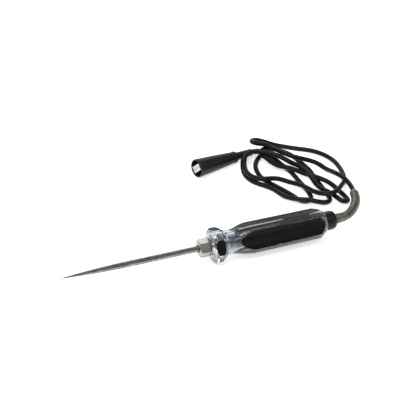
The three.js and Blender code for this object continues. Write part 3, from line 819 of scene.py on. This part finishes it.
# %% [markdown]
# ## Handle
# The handle is moulded in clear acetate and then fluted: a big round cutter runs down each of four sides
# and stops where the handle narrows to its waist, so each flute begins with a bullet-shaped end. The
# same four sides of the flange are milled flat. The flutes and flats are painted black, and the ribs
# between them stay clear. The blank is turned first, hollow for the lamp, and the cutters carry the
# paint, so that each face they leave is a painted one.

# %% Handle blank
FLANGE_RADIUS = 13.8
NOSE_LENGTH = 3.7
NOSE_FACE_RADIUS = 8.2
FLANGE_REAR = HANDLE_FRONT + 7.2
WAIST = HANDLE_FRONT + 16
WAIST_RADIUS = 9.45
GRIP_START = HANDLE_FRONT + 33.6
GRIP_RADIUS = 12.95
GRIP_REAR_RADIUS = 12.55
CHAMBER_RADIUS = BUSHING_RADIUS + 0.4
CHAMBER_END = HANDLE_FRONT + 60
LEAD_HOLE = LEAD_RADIUS + 0.6
SPIGOT_BORE = 5.6
SPIGOT_BORE_FRONT = HANDLE_REAR - 12.5

nose_rise = FLANGE_RADIUS - NOSE_FACE_RADIUS
nose = [
    (HANDLE_FRONT + NOSE_LENGTH * (1 - math.cos(turn)), NOSE_FACE_RADIUS + nose_rise * math.sin(turn))
    for turn in [step / 8 * math.pi / 2 for step in range(9)]
]
flange_edge = [
    (FLANGE_REAR - 0.6, FLANGE_RADIUS),
    (FLANGE_REAR - 0.15, FLANGE_RADIUS - 0.06),
]
flange_back = bow(
    (FLANGE_REAR, FLANGE_RADIUS), (FLANGE_REAR + 4.4, WAIST_RADIUS), (WAIST, WAIST_RADIUS), 12
)
rear_edge = [
    (HANDLE_REAR - 7.2, GRIP_REAR_RADIUS),
    (HANDLE_REAR - 6.4, GRIP_REAR_RADIUS - 0.25),
    (HANDLE_REAR - 0.5, 8.4),
    (HANDLE_REAR, 7.9),
]
blank_outline = [
    *nose,
    *flange_edge,
    *flange_back,
    *ease((WAIST + 0.01, WAIST_RADIUS), (GRIP_START, GRIP_RADIUS), 14)[1:],
    *rear_edge,
    (HANDLE_REAR, SPIGOT_BORE),
    (SPIGOT_BORE_FRONT, SPIGOT_BORE),
    (SPIGOT_BORE_FRONT, LEAD_HOLE),
    (CHAMBER_END, LEAD_HOLE),
    (CHAMBER_END, CHAMBER_RADIUS),
    (HANDLE_FRONT, CHAMBER_RADIUS),
    (HANDLE_FRONT, NOSE_FACE_RADIUS - 0.1),
]
handle = turned("handle", blank_outline, steps=96, closed=True)
handle.data.materials.append(clear_acetate)
print("handle blank:", len(handle.data.polygons), "faces")

# %% [markdown]
# Each flute is what a cylinder of 55 mm radius leaves when it is sunk into the grip, so its floor is
# nearly flat and its front end runs out in the narrowing shoulder. A cube mills the flat on the flange.
# One pair of cutters is made for each of the four sides.

# %% Flutes and flats
FLUTE_ANGLES = [70, 160, 250, 340]
FLUTE_FLOOR = 10.3
FLUTE_CUTTER_RADIUS = 55
FLAT_APOTHEM = 12.4
FLAT_CUTTER = Vector((16, 40, 10)) * MM


def side_turn(degrees):
    """The handle's side at this angle, counted from the top towards the viewer's side."""
    return AXIS @ Matrix.Rotation(math.radians(degrees), 4, "X")


def painted_cutter(name):
    obj = newest(name)
    obj.data.materials.append(black_paint)
    return obj


for degrees in FLUTE_ANGLES:
    let_go()
    flute_length = (HANDLE_REAR + 2 - WAIST) * MM
    bpy.ops.mesh.primitive_cylinder_add(
        vertices=256,
        radius=FLUTE_CUTTER_RADIUS * MM,
        depth=flute_length,
        location=(WAIST * MM + flute_length / 2, 0, (FLUTE_FLOOR + FLUTE_CUTTER_RADIUS) * MM),
        rotation=(0, math.pi / 2, 0),
    )
    flute_cutter = painted_cutter("flute_cutter")
    place(flute_cutter, side_turn(degrees))
    carve(handle, flute_cutter, "DIFFERENCE")
    let_go()
    bpy.ops.mesh.primitive_cube_add(size=1, location=(0, 0, 0))
    bpy.ops.transform.resize(value=FLAT_CUTTER)
    flat_cutter = painted_cutter("flat_cutter")
    flat_middle = Vector((WAIST * MM, 0, FLAT_APOTHEM * MM)) + Vector((-FLAT_CUTTER.x, 0, FLAT_CUTTER.z)) / 2
    place(flat_cutter, side_turn(degrees) @ Matrix.Translation(flat_middle))
    carve(handle, flat_cutter, "DIFFERENCE")

smooth(handle, 24)
finish_piece(handle, clear_acetate, "handle", "clear_acetate", "handle_body")

# %% [markdown]
# ## Rear cap
# The cap closes the handle and holds the strain relief. Its spigot is pushed into the handle, and can be
# seen through it. It is moulded in black plastic, with a small radius where the rim turns into the dome.

# %% Rear cap
RIM_FRONT = HANDLE_REAR + GAP
CAP_RADIUS = 7.4
CAP_RIM = 3.9
CAP_END_RADIUS = 5.7
RELIEF_SEAT = 4.8
SPRING_SEAT_DEPTH = 5.4
SPIGOT_FRONT = HANDLE_REAR - 10.5

dome_front = RIM_FRONT + CAP_RIM
cap_outline = [
    (SPIGOT_FRONT, LEAD_RADIUS + GAP),
    (SPIGOT_FRONT, SPIGOT_BORE - GAP - 0.4),
    (SPIGOT_FRONT + 0.6, SPIGOT_BORE - GAP),
    (RIM_FRONT, SPIGOT_BORE - GAP),
    (RIM_FRONT, CAP_RADIUS - 0.3),
    (RIM_FRONT + 0.3, CAP_RADIUS),
    *arc(dome_front, CAP_RADIUS, CAP_REAR - 0.25 - dome_front, CAP_END_RADIUS + 0.1, 12),
    (CAP_REAR, CAP_END_RADIUS - 0.3),
    (CAP_REAR, RELIEF_SEAT + 0.2),
    (CAP_REAR - 0.2, RELIEF_SEAT),
    (CAP_REAR - SPRING_SEAT_DEPTH, RELIEF_SEAT),
    (CAP_REAR - SPRING_SEAT_DEPTH, LEAD_RADIUS + GAP),
]
cap = turned("rear_cap_moulded", cap_outline, steps=72, closed=True)
finish_piece(cap, black_plastic, "handle", "black_plastic", "rear_cap")

# %% [markdown]
# ## Lamp
# Inside the handle is a small lamp: a spun and plated shell with a flange, a dark glass insulator with
# a domed contact on it, and a blown envelope with a stem, two support wires and a filament. It shows
# only faintly through the clear plastic, but it is what the tool is for.

# %% Lamp contact, insulator and shell
LAMP_FRONT = PROBE_REAR + GAP
SHELL_FRONT, SHELL_REAR = span("lamp_shell")
SHELL_RADIUS = 4.4
SHELL_BORE = SHELL_RADIUS - 0.4
SHELL_FLANGE_RADIUS = 5.5
SHELL_FLANGE = 0.9
INSULATOR_REAR = span("lamp_insulator")[1]
CONTACT_HEIGHT = 1.1
CONTACT_RADIUS = 1.6

contact_dome = reversed(arc(0, CONTACT_RADIUS, CONTACT_HEIGHT, 0, 8))
contact_front = [(LAMP_FRONT + CONTACT_HEIGHT - x, r) for x, r in contact_dome]
lamp_contact = turned("lamp_contact", [*contact_front, (LAMP_FRONT + CONTACT_HEIGHT, 0)], steps=32)
finish_piece(lamp_contact, brass, "lamp", "brass", "lamp_tip_contact")

insulator_outline = [
    (SHELL_FRONT, 0),
    (SHELL_FRONT, SHELL_BORE - GAP - 0.2),
    (SHELL_FRONT + 0.2, SHELL_BORE - GAP),
    (INSULATOR_REAR, SHELL_BORE - GAP),
    (INSULATOR_REAR, 0),
]
insulator = turned("lamp_insulator_disc", insulator_outline, steps=40)
finish_piece(insulator, lamp_insulator, "lamp", "lamp_insulator", "lamp_insulator")

shell_outline = [
    (SHELL_FRONT, SHELL_BORE),
    (SHELL_FRONT, SHELL_RADIUS - 0.15),
    (SHELL_FRONT + 0.15, SHELL_RADIUS),
    (SHELL_REAR - SHELL_FLANGE, SHELL_RADIUS),
    (SHELL_REAR - SHELL_FLANGE, SHELL_FLANGE_RADIUS - 0.15),
    (SHELL_REAR - SHELL_FLANGE + 0.15, SHELL_FLANGE_RADIUS),
    (SHELL_REAR - 0.15, SHELL_FLANGE_RADIUS),
    (SHELL_REAR, SHELL_FLANGE_RADIUS - 0.15),
    (SHELL_REAR, SHELL_BORE),
]
shell = turned("lamp_shell_spun", shell_outline, steps=56, closed=True)
finish_piece(shell, plated_brass, "lamp", "brass", "lamp_shell")

# %% [markdown]
# The envelope is blown from tube: a neck held in the shell, a straight side and a round end, drawn as an
# outer and an inner line so that the glass has its real wall. The filament is a short coil across the
# tops of the two wires.

# %% Lamp glass, stem, wires and filament
NECK_FRONT = INSULATOR_REAR + GAP
NECK_RADIUS = SHELL_BORE - GAP
BULB_FRONT = SHELL_REAR + GAP
GLASS_RADIUS = 4.2
GLASS_END = span("lamp_glass")[1]
GLASS_WALL = 0.6
STEM_RADIUS = 2.3
WIRE_SPREAD = 1.7
WIRE_RADIUS = 0.3
FILAMENT_WIRE = 0.1
FILAMENT_COIL = 0.25
FILAMENT_TURNS = 9

inner_radius = GLASS_RADIUS - GLASS_WALL
bulb_dome = GLASS_END - GLASS_RADIUS
bulb_shoulder = [(BULB_FRONT + 0.05, NECK_RADIUS), (BULB_FRONT + 0.1, GLASS_RADIUS)]
bulb_shoulder += [(BULB_FRONT + 1, GLASS_RADIUS)]
glass_outline = [
    (NECK_FRONT, NECK_RADIUS - GLASS_WALL),
    (NECK_FRONT, NECK_RADIUS),
    (BULB_FRONT, NECK_RADIUS),
    *bow(*bulb_shoulder, 5),
    *arc(bulb_dome, GLASS_RADIUS, GLASS_RADIUS, 0, 12),
    *reversed(arc(bulb_dome, inner_radius, inner_radius, 0, 12)),
    (BULB_FRONT + 1.2, inner_radius),
    (BULB_FRONT + 0.5, NECK_RADIUS - GLASS_WALL),
]
glass = turned("lamp_envelope", glass_outline, steps=56, closed=True, angle=60)
finish_piece(glass, lamp_glass, "lamp", "lamp_glass", "lamp_glass")

stem_end = span("lamp_stem")[1]
stem_outline = [(NECK_FRONT, 0), (NECK_FRONT, STEM_RADIUS), (stem_end - 1.2, STEM_RADIUS)]
stem_outline += [(stem_end - 0.3, 1.9), (stem_end, 1.3), (stem_end, 0)]
stem = turned("lamp_stem_pressed", stem_outline, steps=32, angle=60)
finish_piece(stem, lamp_glass, "lamp", "lamp_glass", "lamp_stem")

for number, side in ((1, -1), (2, 1)):
    wire_box = f"lamp_support_wire_{number}"
    wire_front, wire_rear = span(wire_box)
    wire_outline = [(wire_front, 0), (wire_front, WIRE_RADIUS), (wire_rear - 0.1, WIRE_RADIUS)]
    wire_outline += [(wire_rear, WIRE_RADIUS - 0.1), (wire_rear, 0)]
    beside = AXIS @ Matrix.Translation((0, side * WIRE_SPREAD * MM, 0))
    wire = turned(f"support_wire_{number}", wire_outline, steps=16, where=beside)
    finish_piece(wire, tungsten, "lamp", "tungsten", wire_box)

filament_low, filament_high = low("lamp_filament"), high("lamp_filament")
filament_span = (filament_high.y - filament_low.y) / MM
filament_start = FILAMENT_WIRE - filament_span / 2
filament_pitch = (filament_span - 2 * FILAMENT_WIRE) / FILAMENT_TURNS
filament = wound(
    "filament", filament_start, FILAMENT_COIL, FILAMENT_WIRE, filament_pitch, FILAMENT_TURNS, 6, 14
)
across = Matrix.Rotation(math.pi / 2, 4, "Z")
place(filament, Matrix.Translation((filament_low + filament_high) / 2) @ across)
finish_piece(filament, tungsten, "lamp", "tungsten", "lamp_filament")

# %% [markdown]
# ## Contact spring, cup and lead end
# A coil spring behind the lamp presses it against the probe and carries the current from the lead. It
# sits in a brass cup, and the lead ends in a ferrule crimped behind the cup.

# %% Contact spring and cup
CONTACT_WIRE = 0.35
CONTACT_TURNS = 8

spring_low, spring_high = span("contact_spring")
spring_radius = CHAMBER_RADIUS - 0.7 - CONTACT_WIRE
spring_pitch = (spring_high - spring_low - 2 * CONTACT_WIRE) / CONTACT_TURNS
contact_coil = wound(
    "contact_coil",
    spring_low + CONTACT_WIRE,
    spring_radius,
    CONTACT_WIRE,
    spring_pitch,
    CONTACT_TURNS,
    sides=10,
    steps=40,
)
place(contact_coil, AXIS)
contact_coil.data.materials.append(music_wire)

cup_low, cup_high = span("rear_contact_cup")
cup_bore = spring_radius + CONTACT_WIRE + GAP / 2
cup_outline = [
    (cup_high - 0.8, 0),
    (cup_high - 0.8, cup_bore),
    (cup_low, cup_bore),
    (cup_low, CHAMBER_RADIUS - GAP),
    (cup_high - 0.2, CHAMBER_RADIUS - GAP),
    (cup_high, CHAMBER_RADIUS - GAP - 0.2),
    (cup_high, 0),
]
cup = turned("contact_cup", cup_outline, steps=48)
finish_piece(cup, brass, "handle", "brass", "rear_contact_cup")

terminal_low, terminal_high = span("lead_terminal")
terminal_outline = [
    (terminal_low, 0),
    (terminal_low, LEAD_RADIUS - 0.2),
    (terminal_low + 0.2, LEAD_RADIUS),
    (terminal_high - 0.6, LEAD_RADIUS),
    (terminal_high - 0.2, LEAD_RADIUS - 0.3),
    (terminal_high, LEAD_RADIUS - 0.9),
    (terminal_high, 0),
]
terminal = turned("lead_ferrule", terminal_outline, steps=32)
finish_piece(terminal, brass, "handle", "brass", "lead_terminal")

inner_low, inner_high = span("lead_in_handle")
inner_outline = [
    (inner_low, 0),
    (inner_low, LEAD_RADIUS - 0.15),
    (inner_low + 0.15, LEAD_RADIUS),
    (inner_high - 0.15, LEAD_RADIUS),
    (inner_high, LEAD_RADIUS - 0.15),
    (inner_high, 0),
]
inner_lead = turned("lead_inside", inner_outline, steps=32)
finish_piece(inner_lead, lead_rubber, "handle", "lead_rubber", "lead_in_handle")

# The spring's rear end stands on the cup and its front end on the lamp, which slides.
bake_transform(contact_coil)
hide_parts("contact_spring")

# %% [markdown]
# ## Strain relief
# Where the lead leaves the cap it runs through a coil spring, which keeps it from being bent sharply. The
# spring is close-wound and a little wider where it seats in the cap, then opens out so that it can flex,
# and ends in three close turns. It is wound straight and then bent along the lead with a Curve modifier,
# whose radius widens it at the seat.

# %% Strain relief spring
RELIEF_WIRE = 0.56
RELIEF_RADIUS = 3.6 - RELIEF_WIRE
RELIEF_FLARE = 4.5 / 3.6
CLOSE_PITCH = 2 * RELIEF_WIRE + 0.02
CLOSE_TURNS = 13
OPEN_TURNS = 19
END_TURNS = 3

relief_length = along(smooth_line(relief_route))[-1]
close_length = CLOSE_TURNS * CLOSE_PITCH
open_length = relief_length - close_length - END_TURNS * CLOSE_PITCH - 2 * RELIEF_WIRE
open_start = RELIEF_WIRE + close_length
end_start = open_start + open_length
relief_parts = [
    wound(name, start, RELIEF_RADIUS, RELIEF_WIRE, pitch, turns, 10, 28)
    for name, start, pitch, turns in (
        ("strain_relief", RELIEF_WIRE, CLOSE_PITCH, CLOSE_TURNS),
        ("open_part", open_start, open_length / OPEN_TURNS, OPEN_TURNS),
        ("end_part", end_start, CLOSE_PITCH, END_TURNS),
    )
]
relief = joined(*relief_parts)

relief_line = even(lead_line[along(lead_line) < relief_length + PATH_SPACING], PATH_SPACING)
bend = curve_along("relief_bend", relief_line)
bend.data.use_radius = True
for bezier, distance in zip(bend.data.splines[0].bezier_points, along(relief_line)):
    bezier.radius = 1 + (RELIEF_FLARE - 1) * max(0, 1 - distance / close_length)
bend.data.resolution_u = 12
apply_modifier(relief, "CURVE", object=bend, deform_axis="POS_X")
bpy.data.objects.remove(bend)
finish_piece(relief, relief_wire_painted_shade, "handle", "spring_steel", "strain_relief_spring")

# %% [markdown]
# ## Clip
# At the lead's far end is a small spring clip in a rubber boot. It has a frame of its own: its axis runs
# back from the boot's mouth, a little uphill and rolled, as it came to rest on the table.

# %% The clip's own frame
CLIP_MOUTH = Vector((CAP_REAR - 67.6, 120.6, 7.875)) * MM
CLIP_HEADING = math.radians(15.5)
CLIP_PITCH = math.radians(4.126)
CLIP_ROLL = math.radians(-42)
PIVOT = 24

clip_place = (
    Matrix.Translation(CLIP_MOUTH)
    @ Matrix.Rotation(CLIP_HEADING, 4, "Z")
    @ Matrix.Rotation(CLIP_PITCH, 4, "Y")
    @ Matrix.Rotation(CLIP_ROLL, 4, "X")
)

# %% [markdown]
# The boot is dipped rubber: wide at the mouth with a rolled rim, narrowing to a shoulder and a neck that
# grips the lead. It stretches when the jaws open.

# %% Boot
MOUTH_RADIUS = 7.754
BOOT_REAR_RADIUS = 4.797
BOOT_BODY = 41
BOOT_END = 58
NECK_BOOT_RADIUS = 3.4
NECK_END_RADIUS = 3.0
BOOT_WALL = 1.3
SIDE_SWELL = 0.3
RIM_DEPTH = 0.75
RIM_RADIUS = 0.65


def boot_side(front, front_radius, rear, rear_radius):
    """The boot's long side, which swells a little between its two ends."""
    middle = ((front + rear) / 2, (front_radius + rear_radius) / 2 + SIDE_SWELL)
    return bow((front, front_radius), middle, (rear, rear_radius), 14)


rim = [
    (RIM_DEPTH - RIM_DEPTH * math.sin(turn), MOUTH_RADIUS - RIM_RADIUS + RIM_RADIUS * math.cos(turn))
    for turn in [step / 8 * math.pi for step in range(9)]
]
boot_outline = [
    *reversed(rim),
    (1.5, MOUTH_RADIUS - 0.02),
    (1.9, MOUTH_RADIUS - 0.16),
    *boot_side(2.6, MOUTH_RADIUS - 0.14, BOOT_BODY - 3, BOOT_REAR_RADIUS + 0.02),
    (BOOT_BODY - 2.2, BOOT_REAR_RADIUS + 0.22),
    (BOOT_BODY - 1.0, BOOT_REAR_RADIUS + 0.24),
    (BOOT_BODY - 0.2, BOOT_REAR_RADIUS - 0.1),
    (BOOT_BODY + 0.4, NECK_BOOT_RADIUS + 0.8),
    (BOOT_BODY + 1.3, NECK_BOOT_RADIUS + 0.15),
    (BOOT_BODY + 2.4, NECK_BOOT_RADIUS),
    (BOOT_END - 1.6, NECK_END_RADIUS + 0.03),
    (BOOT_END - 0.5, NECK_END_RADIUS),
    (BOOT_END, NECK_END_RADIUS - 0.4),
    (BOOT_END, LEAD_RADIUS + 0.1),
    (BOOT_BODY + 0.6, LEAD_RADIUS + 0.15),
    *reversed(boot_side(2, MOUTH_RADIUS - BOOT_WALL, BOOT_BODY - 2, BOOT_REAR_RADIUS - BOOT_WALL)),
]
boot = turned("boot", boot_outline, steps=72, closed=True, where=clip_place, angle=50)
boot.data.materials.append(boot_rubber)
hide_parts("clip_boot")
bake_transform(boot)

# %% [markdown]
# The jaws are pressed from sheet: seen from the side each has a row of teeth and an ear for the pin, and
# seen from above it narrows to its tail. Two flat outlines are drawn and given depth, one across the
# other, and what they share is the jaw's blank. A third cutter hollows it into a channel.

# %% Outlines with depth


def plate(name, corners, depth):
    """A flat outline drawn through corners in mm and pushed along a depth vector."""
    obj = drawn(name, [Vector(corner) * MM for corner in corners])
    bpy.ops.mesh.edge_face_add()
    bpy.ops.mesh.extrude_region_move(TRANSFORM_OT_translate={"value": Vector(depth) * MM})
    close_up()
    bpy.ops.object.mode_set(mode="OBJECT")
    return obj


# %% [markdown]
# One function makes both jaws, biting edge down and lying along X: only the ears' spacing differs, since
# the moving jaw's ears go between the fixed jaw's. The bevel stands for the rounded edge of pressed sheet.

# %% One jaw
SHEET = 0.6
NOSE_HALF_WIDTH = 5.05
NOSE_HEIGHT = 2.8
NOSE_BLOCK = 3
TOOTH_PITCH = 2
TOOTH_HEIGHT = 0.5
TEETH = 7
EAR_REACH = 3
EAR_HEIGHT = 1.2
JAW_TAIL = 34.5
JAW_TAIL_HALF = 1.5
PIN_RADIUS = 0.9
CUT_HEIGHT = 4
EAR_OUTSIDE = 3.05


def jaw(name, ear_half):
    """A jaw in the clip's own frame, whose ears stand ear_half mm from the middle."""
    bite = GAP / 2
    side = [(GAP, bite), (NOSE_BLOCK, bite)]
    for tooth in range(TEETH):
        x = NOSE_BLOCK + tooth * TOOTH_PITCH
        side += [(x + TOOTH_PITCH / 2, bite + TOOTH_HEIGHT), (x + TOOTH_PITCH, bite)]
    side += [(PIVOT - EAR_REACH, bite), (PIVOT - EAR_HEIGHT, -EAR_HEIGHT), (PIVOT + EAR_HEIGHT, -EAR_HEIGHT)]
    side += [(PIVOT + EAR_REACH, bite), (PIVOT + EAR_REACH + 1, NOSE_HEIGHT - SHEET)]
    side += [(JAW_TAIL, NOSE_HEIGHT - SHEET), (JAW_TAIL, NOSE_HEIGHT), (GAP, NOSE_HEIGHT)]
    side_corners = [(x, -NOSE_HALF_WIDTH - 1, z) for x, z in side]
    blank = plate(name, side_corners, (0, 2 * NOSE_HALF_WIDTH + 2, 0))

    ear_front, ear_rear = PIVOT - EAR_REACH - GAP, PIVOT + EAR_REACH
    half_plan = [(0, NOSE_HALF_WIDTH), (ear_front, ear_half), (ear_rear, ear_half)]
    half_plan += [(JAW_TAIL + 1, JAW_TAIL_HALF)]
    plan = half_plan + [(x, -y) for x, y in reversed(half_plan)]
    plan_corners = [(x, y, -CUT_HEIGHT) for x, y in plan]
    carve(blank, plate("jaw_plan", plan_corners, (0, 0, 2 * CUT_HEIGHT)), "INTERSECT")

    inner = ear_half - SHEET
    half_channel = [(NOSE_BLOCK, NOSE_HALF_WIDTH - 2 * SHEET), (ear_front, inner), (JAW_TAIL + 2, inner)]
    channel = half_channel + [(x, -y) for x, y in reversed(half_channel)]
    channel_corners = [(x, y, -CUT_HEIGHT) for x, y in channel]
    channel_depth = NOSE_HEIGHT - SHEET + CUT_HEIGHT
    carve(blank, plate("jaw_channel", channel_corners, (0, 0, channel_depth)), "DIFFERENCE")

    let_go()
    bpy.ops.mesh.primitive_cylinder_add(
        vertices=32,
        radius=(PIN_RADIUS + GAP) * MM,
        depth=14 * MM,
        location=(PIVOT * MM, 0, 0),
        rotation=(math.pi / 2, 0, 0),
    )
    carve(blank, newest("pin_hole"), "DIFFERENCE")
    apply_modifier(
        blank, "BEVEL", width=0.18 * MM, segments=2, limit_method="ANGLE", angle_limit=math.radians(40)
    )
    smooth(blank, 40)
    return blank


ear_inside = EAR_OUTSIDE - SHEET - GAP
moving_jaw = jaw("moving_jaw", ear_inside)
place(moving_jaw, clip_place)
finish_piece(moving_jaw, bright_steel, "clip_jaw", "collar_nickel", "clip_moving_jaw")

# %% [markdown]
# The fixed jaw is the same pressing turned over. Its tail is drawn out into a strap that ends in a barrel,
# crimped round the lead.

# %% Fixed jaw and crimp
CRIMP_FRONT = 36
CRIMP_LENGTH = 4
CRIMP_RADIUS = 2.7

fixed_jaw = jaw("fixed_jaw", EAR_OUTSIDE)
place(fixed_jaw, Matrix.Rotation(math.pi, 4, "X"))
strap_corners = [(JAW_TAIL - 1, y, -NOSE_HEIGHT) for y in (-JAW_TAIL_HALF, JAW_TAIL_HALF)]
strap_corners += [(CRIMP_FRONT + 2, y, -NOSE_HEIGHT) for y in (JAW_TAIL_HALF, -JAW_TAIL_HALF)]
strap = plate("strap", strap_corners, (0, 0, SHEET))
crimp_outline = [
    (CRIMP_FRONT, LEAD_RADIUS + 0.05),
    (CRIMP_FRONT, CRIMP_RADIUS - 0.15),
    (CRIMP_FRONT + 0.15, CRIMP_RADIUS),
    (CRIMP_FRONT + 1.3, CRIMP_RADIUS),
    (CRIMP_FRONT + 2.0, CRIMP_RADIUS - 0.35),
    (CRIMP_FRONT + 2.7, CRIMP_RADIUS),
    (CRIMP_FRONT + CRIMP_LENGTH - 0.15, CRIMP_RADIUS),
    (CRIMP_FRONT + CRIMP_LENGTH, CRIMP_RADIUS - 0.15),
    (CRIMP_FRONT + CRIMP_LENGTH, LEAD_RADIUS + 0.05),
]
crimp = turned("crimp", crimp_outline, steps=40, closed=True, where=Matrix.Identity(4))
joined(fixed_jaw, strap, crimp)
place(fixed_jaw, clip_place)
finish_piece(fixed_jaw, bright_steel, "handle", "collar_nickel", "clip_fixed_jaw")

# %% [markdown]
# A pin with a head at each end holds the two jaws together. It is turned about X like everything else,
# and then laid across the clip.

# %% Pivot pin
PIN_HEAD_RADIUS = 1.4
PIN_HEAD_EDGE = 0.3

pin_half = EAR_OUTSIDE + GAP
across_clip = clip_place @ Matrix.Translation((PIVOT * MM, 0, 0)) @ across
pin_outline = [
    (-pin_half - SHEET, 0),
    (-pin_half - SHEET, PIN_HEAD_RADIUS - PIN_HEAD_EDGE),
    (-pin_half - SHEET + PIN_HEAD_EDGE, PIN_HEAD_RADIUS),
    (-pin_half, PIN_HEAD_RADIUS),
    (-pin_half, PIN_RADIUS),
    (pin_half, PIN_RADIUS),
    (pin_half, PIN_HEAD_RADIUS),
    (pin_half + SHEET - PIN_HEAD_EDGE, PIN_HEAD_RADIUS),
    (pin_half + SHEET, PIN_HEAD_RADIUS - PIN_HEAD_EDGE),
    (pin_half + SHEET, 0),
]
pin = turned("pivot_pin", pin_outline, steps=32, where=across_clip)
finish_piece(pin, ground_steel, "handle", "probe_steel", "clip_pivot_pin")

# %% [markdown]
# A small torsion spring round the pin keeps the jaws shut: three turns of wire with a leg against each
# jaw's tail. The upper leg follows the jaw that opens, so it is a piece of its own.

# %% Torsion spring
CLIP_WIRE = 0.35
CLIP_TURNS = 3
LEG_LENGTH = 3.6
LEG_LEAN = math.radians(3)

spring_half = ear_inside - SHEET - GAP
coil_start = -spring_half + CLIP_WIRE
coil_radius = PIN_RADIUS + GAP + CLIP_WIRE
coil_pitch = (2 * spring_half - 2 * CLIP_WIRE) / CLIP_TURNS
clip_coil = wound("clip_torsion_spring", coil_start, coil_radius, CLIP_WIRE, coil_pitch, CLIP_TURNS, 8, 28)


def spring_leg(name, side):
    """A straight leg that leaves the coil towards the tail, on the upper (1) or lower (-1) jaw's side."""
    location = Vector((side * coil_start, -LEG_LENGTH / 2, side * (coil_radius + 0.1))) * MM
    let_go()
    bpy.ops.mesh.primitive_cylinder_add(
        vertices=10,
        radius=CLIP_WIRE * MM,
        depth=LEG_LENGTH * MM,
        location=location,
        rotation=(math.pi / 2 - side * LEG_LEAN, 0, 0),
    )
    leg = newest(name)
    smooth(leg)
    return leg


joined(clip_coil, spring_leg("lower_leg", -1))
upper_leg = spring_leg("upper_leg", 1)
place(upper_leg, across_clip)
finish_piece(upper_leg, music_wire, "clip_jaw", "spring_steel")
place(clip_coil, across_clip)
smooth(clip_coil, 60)
finish_piece(clip_coil, music_wire, "handle", "spring_steel", "clip_spring")
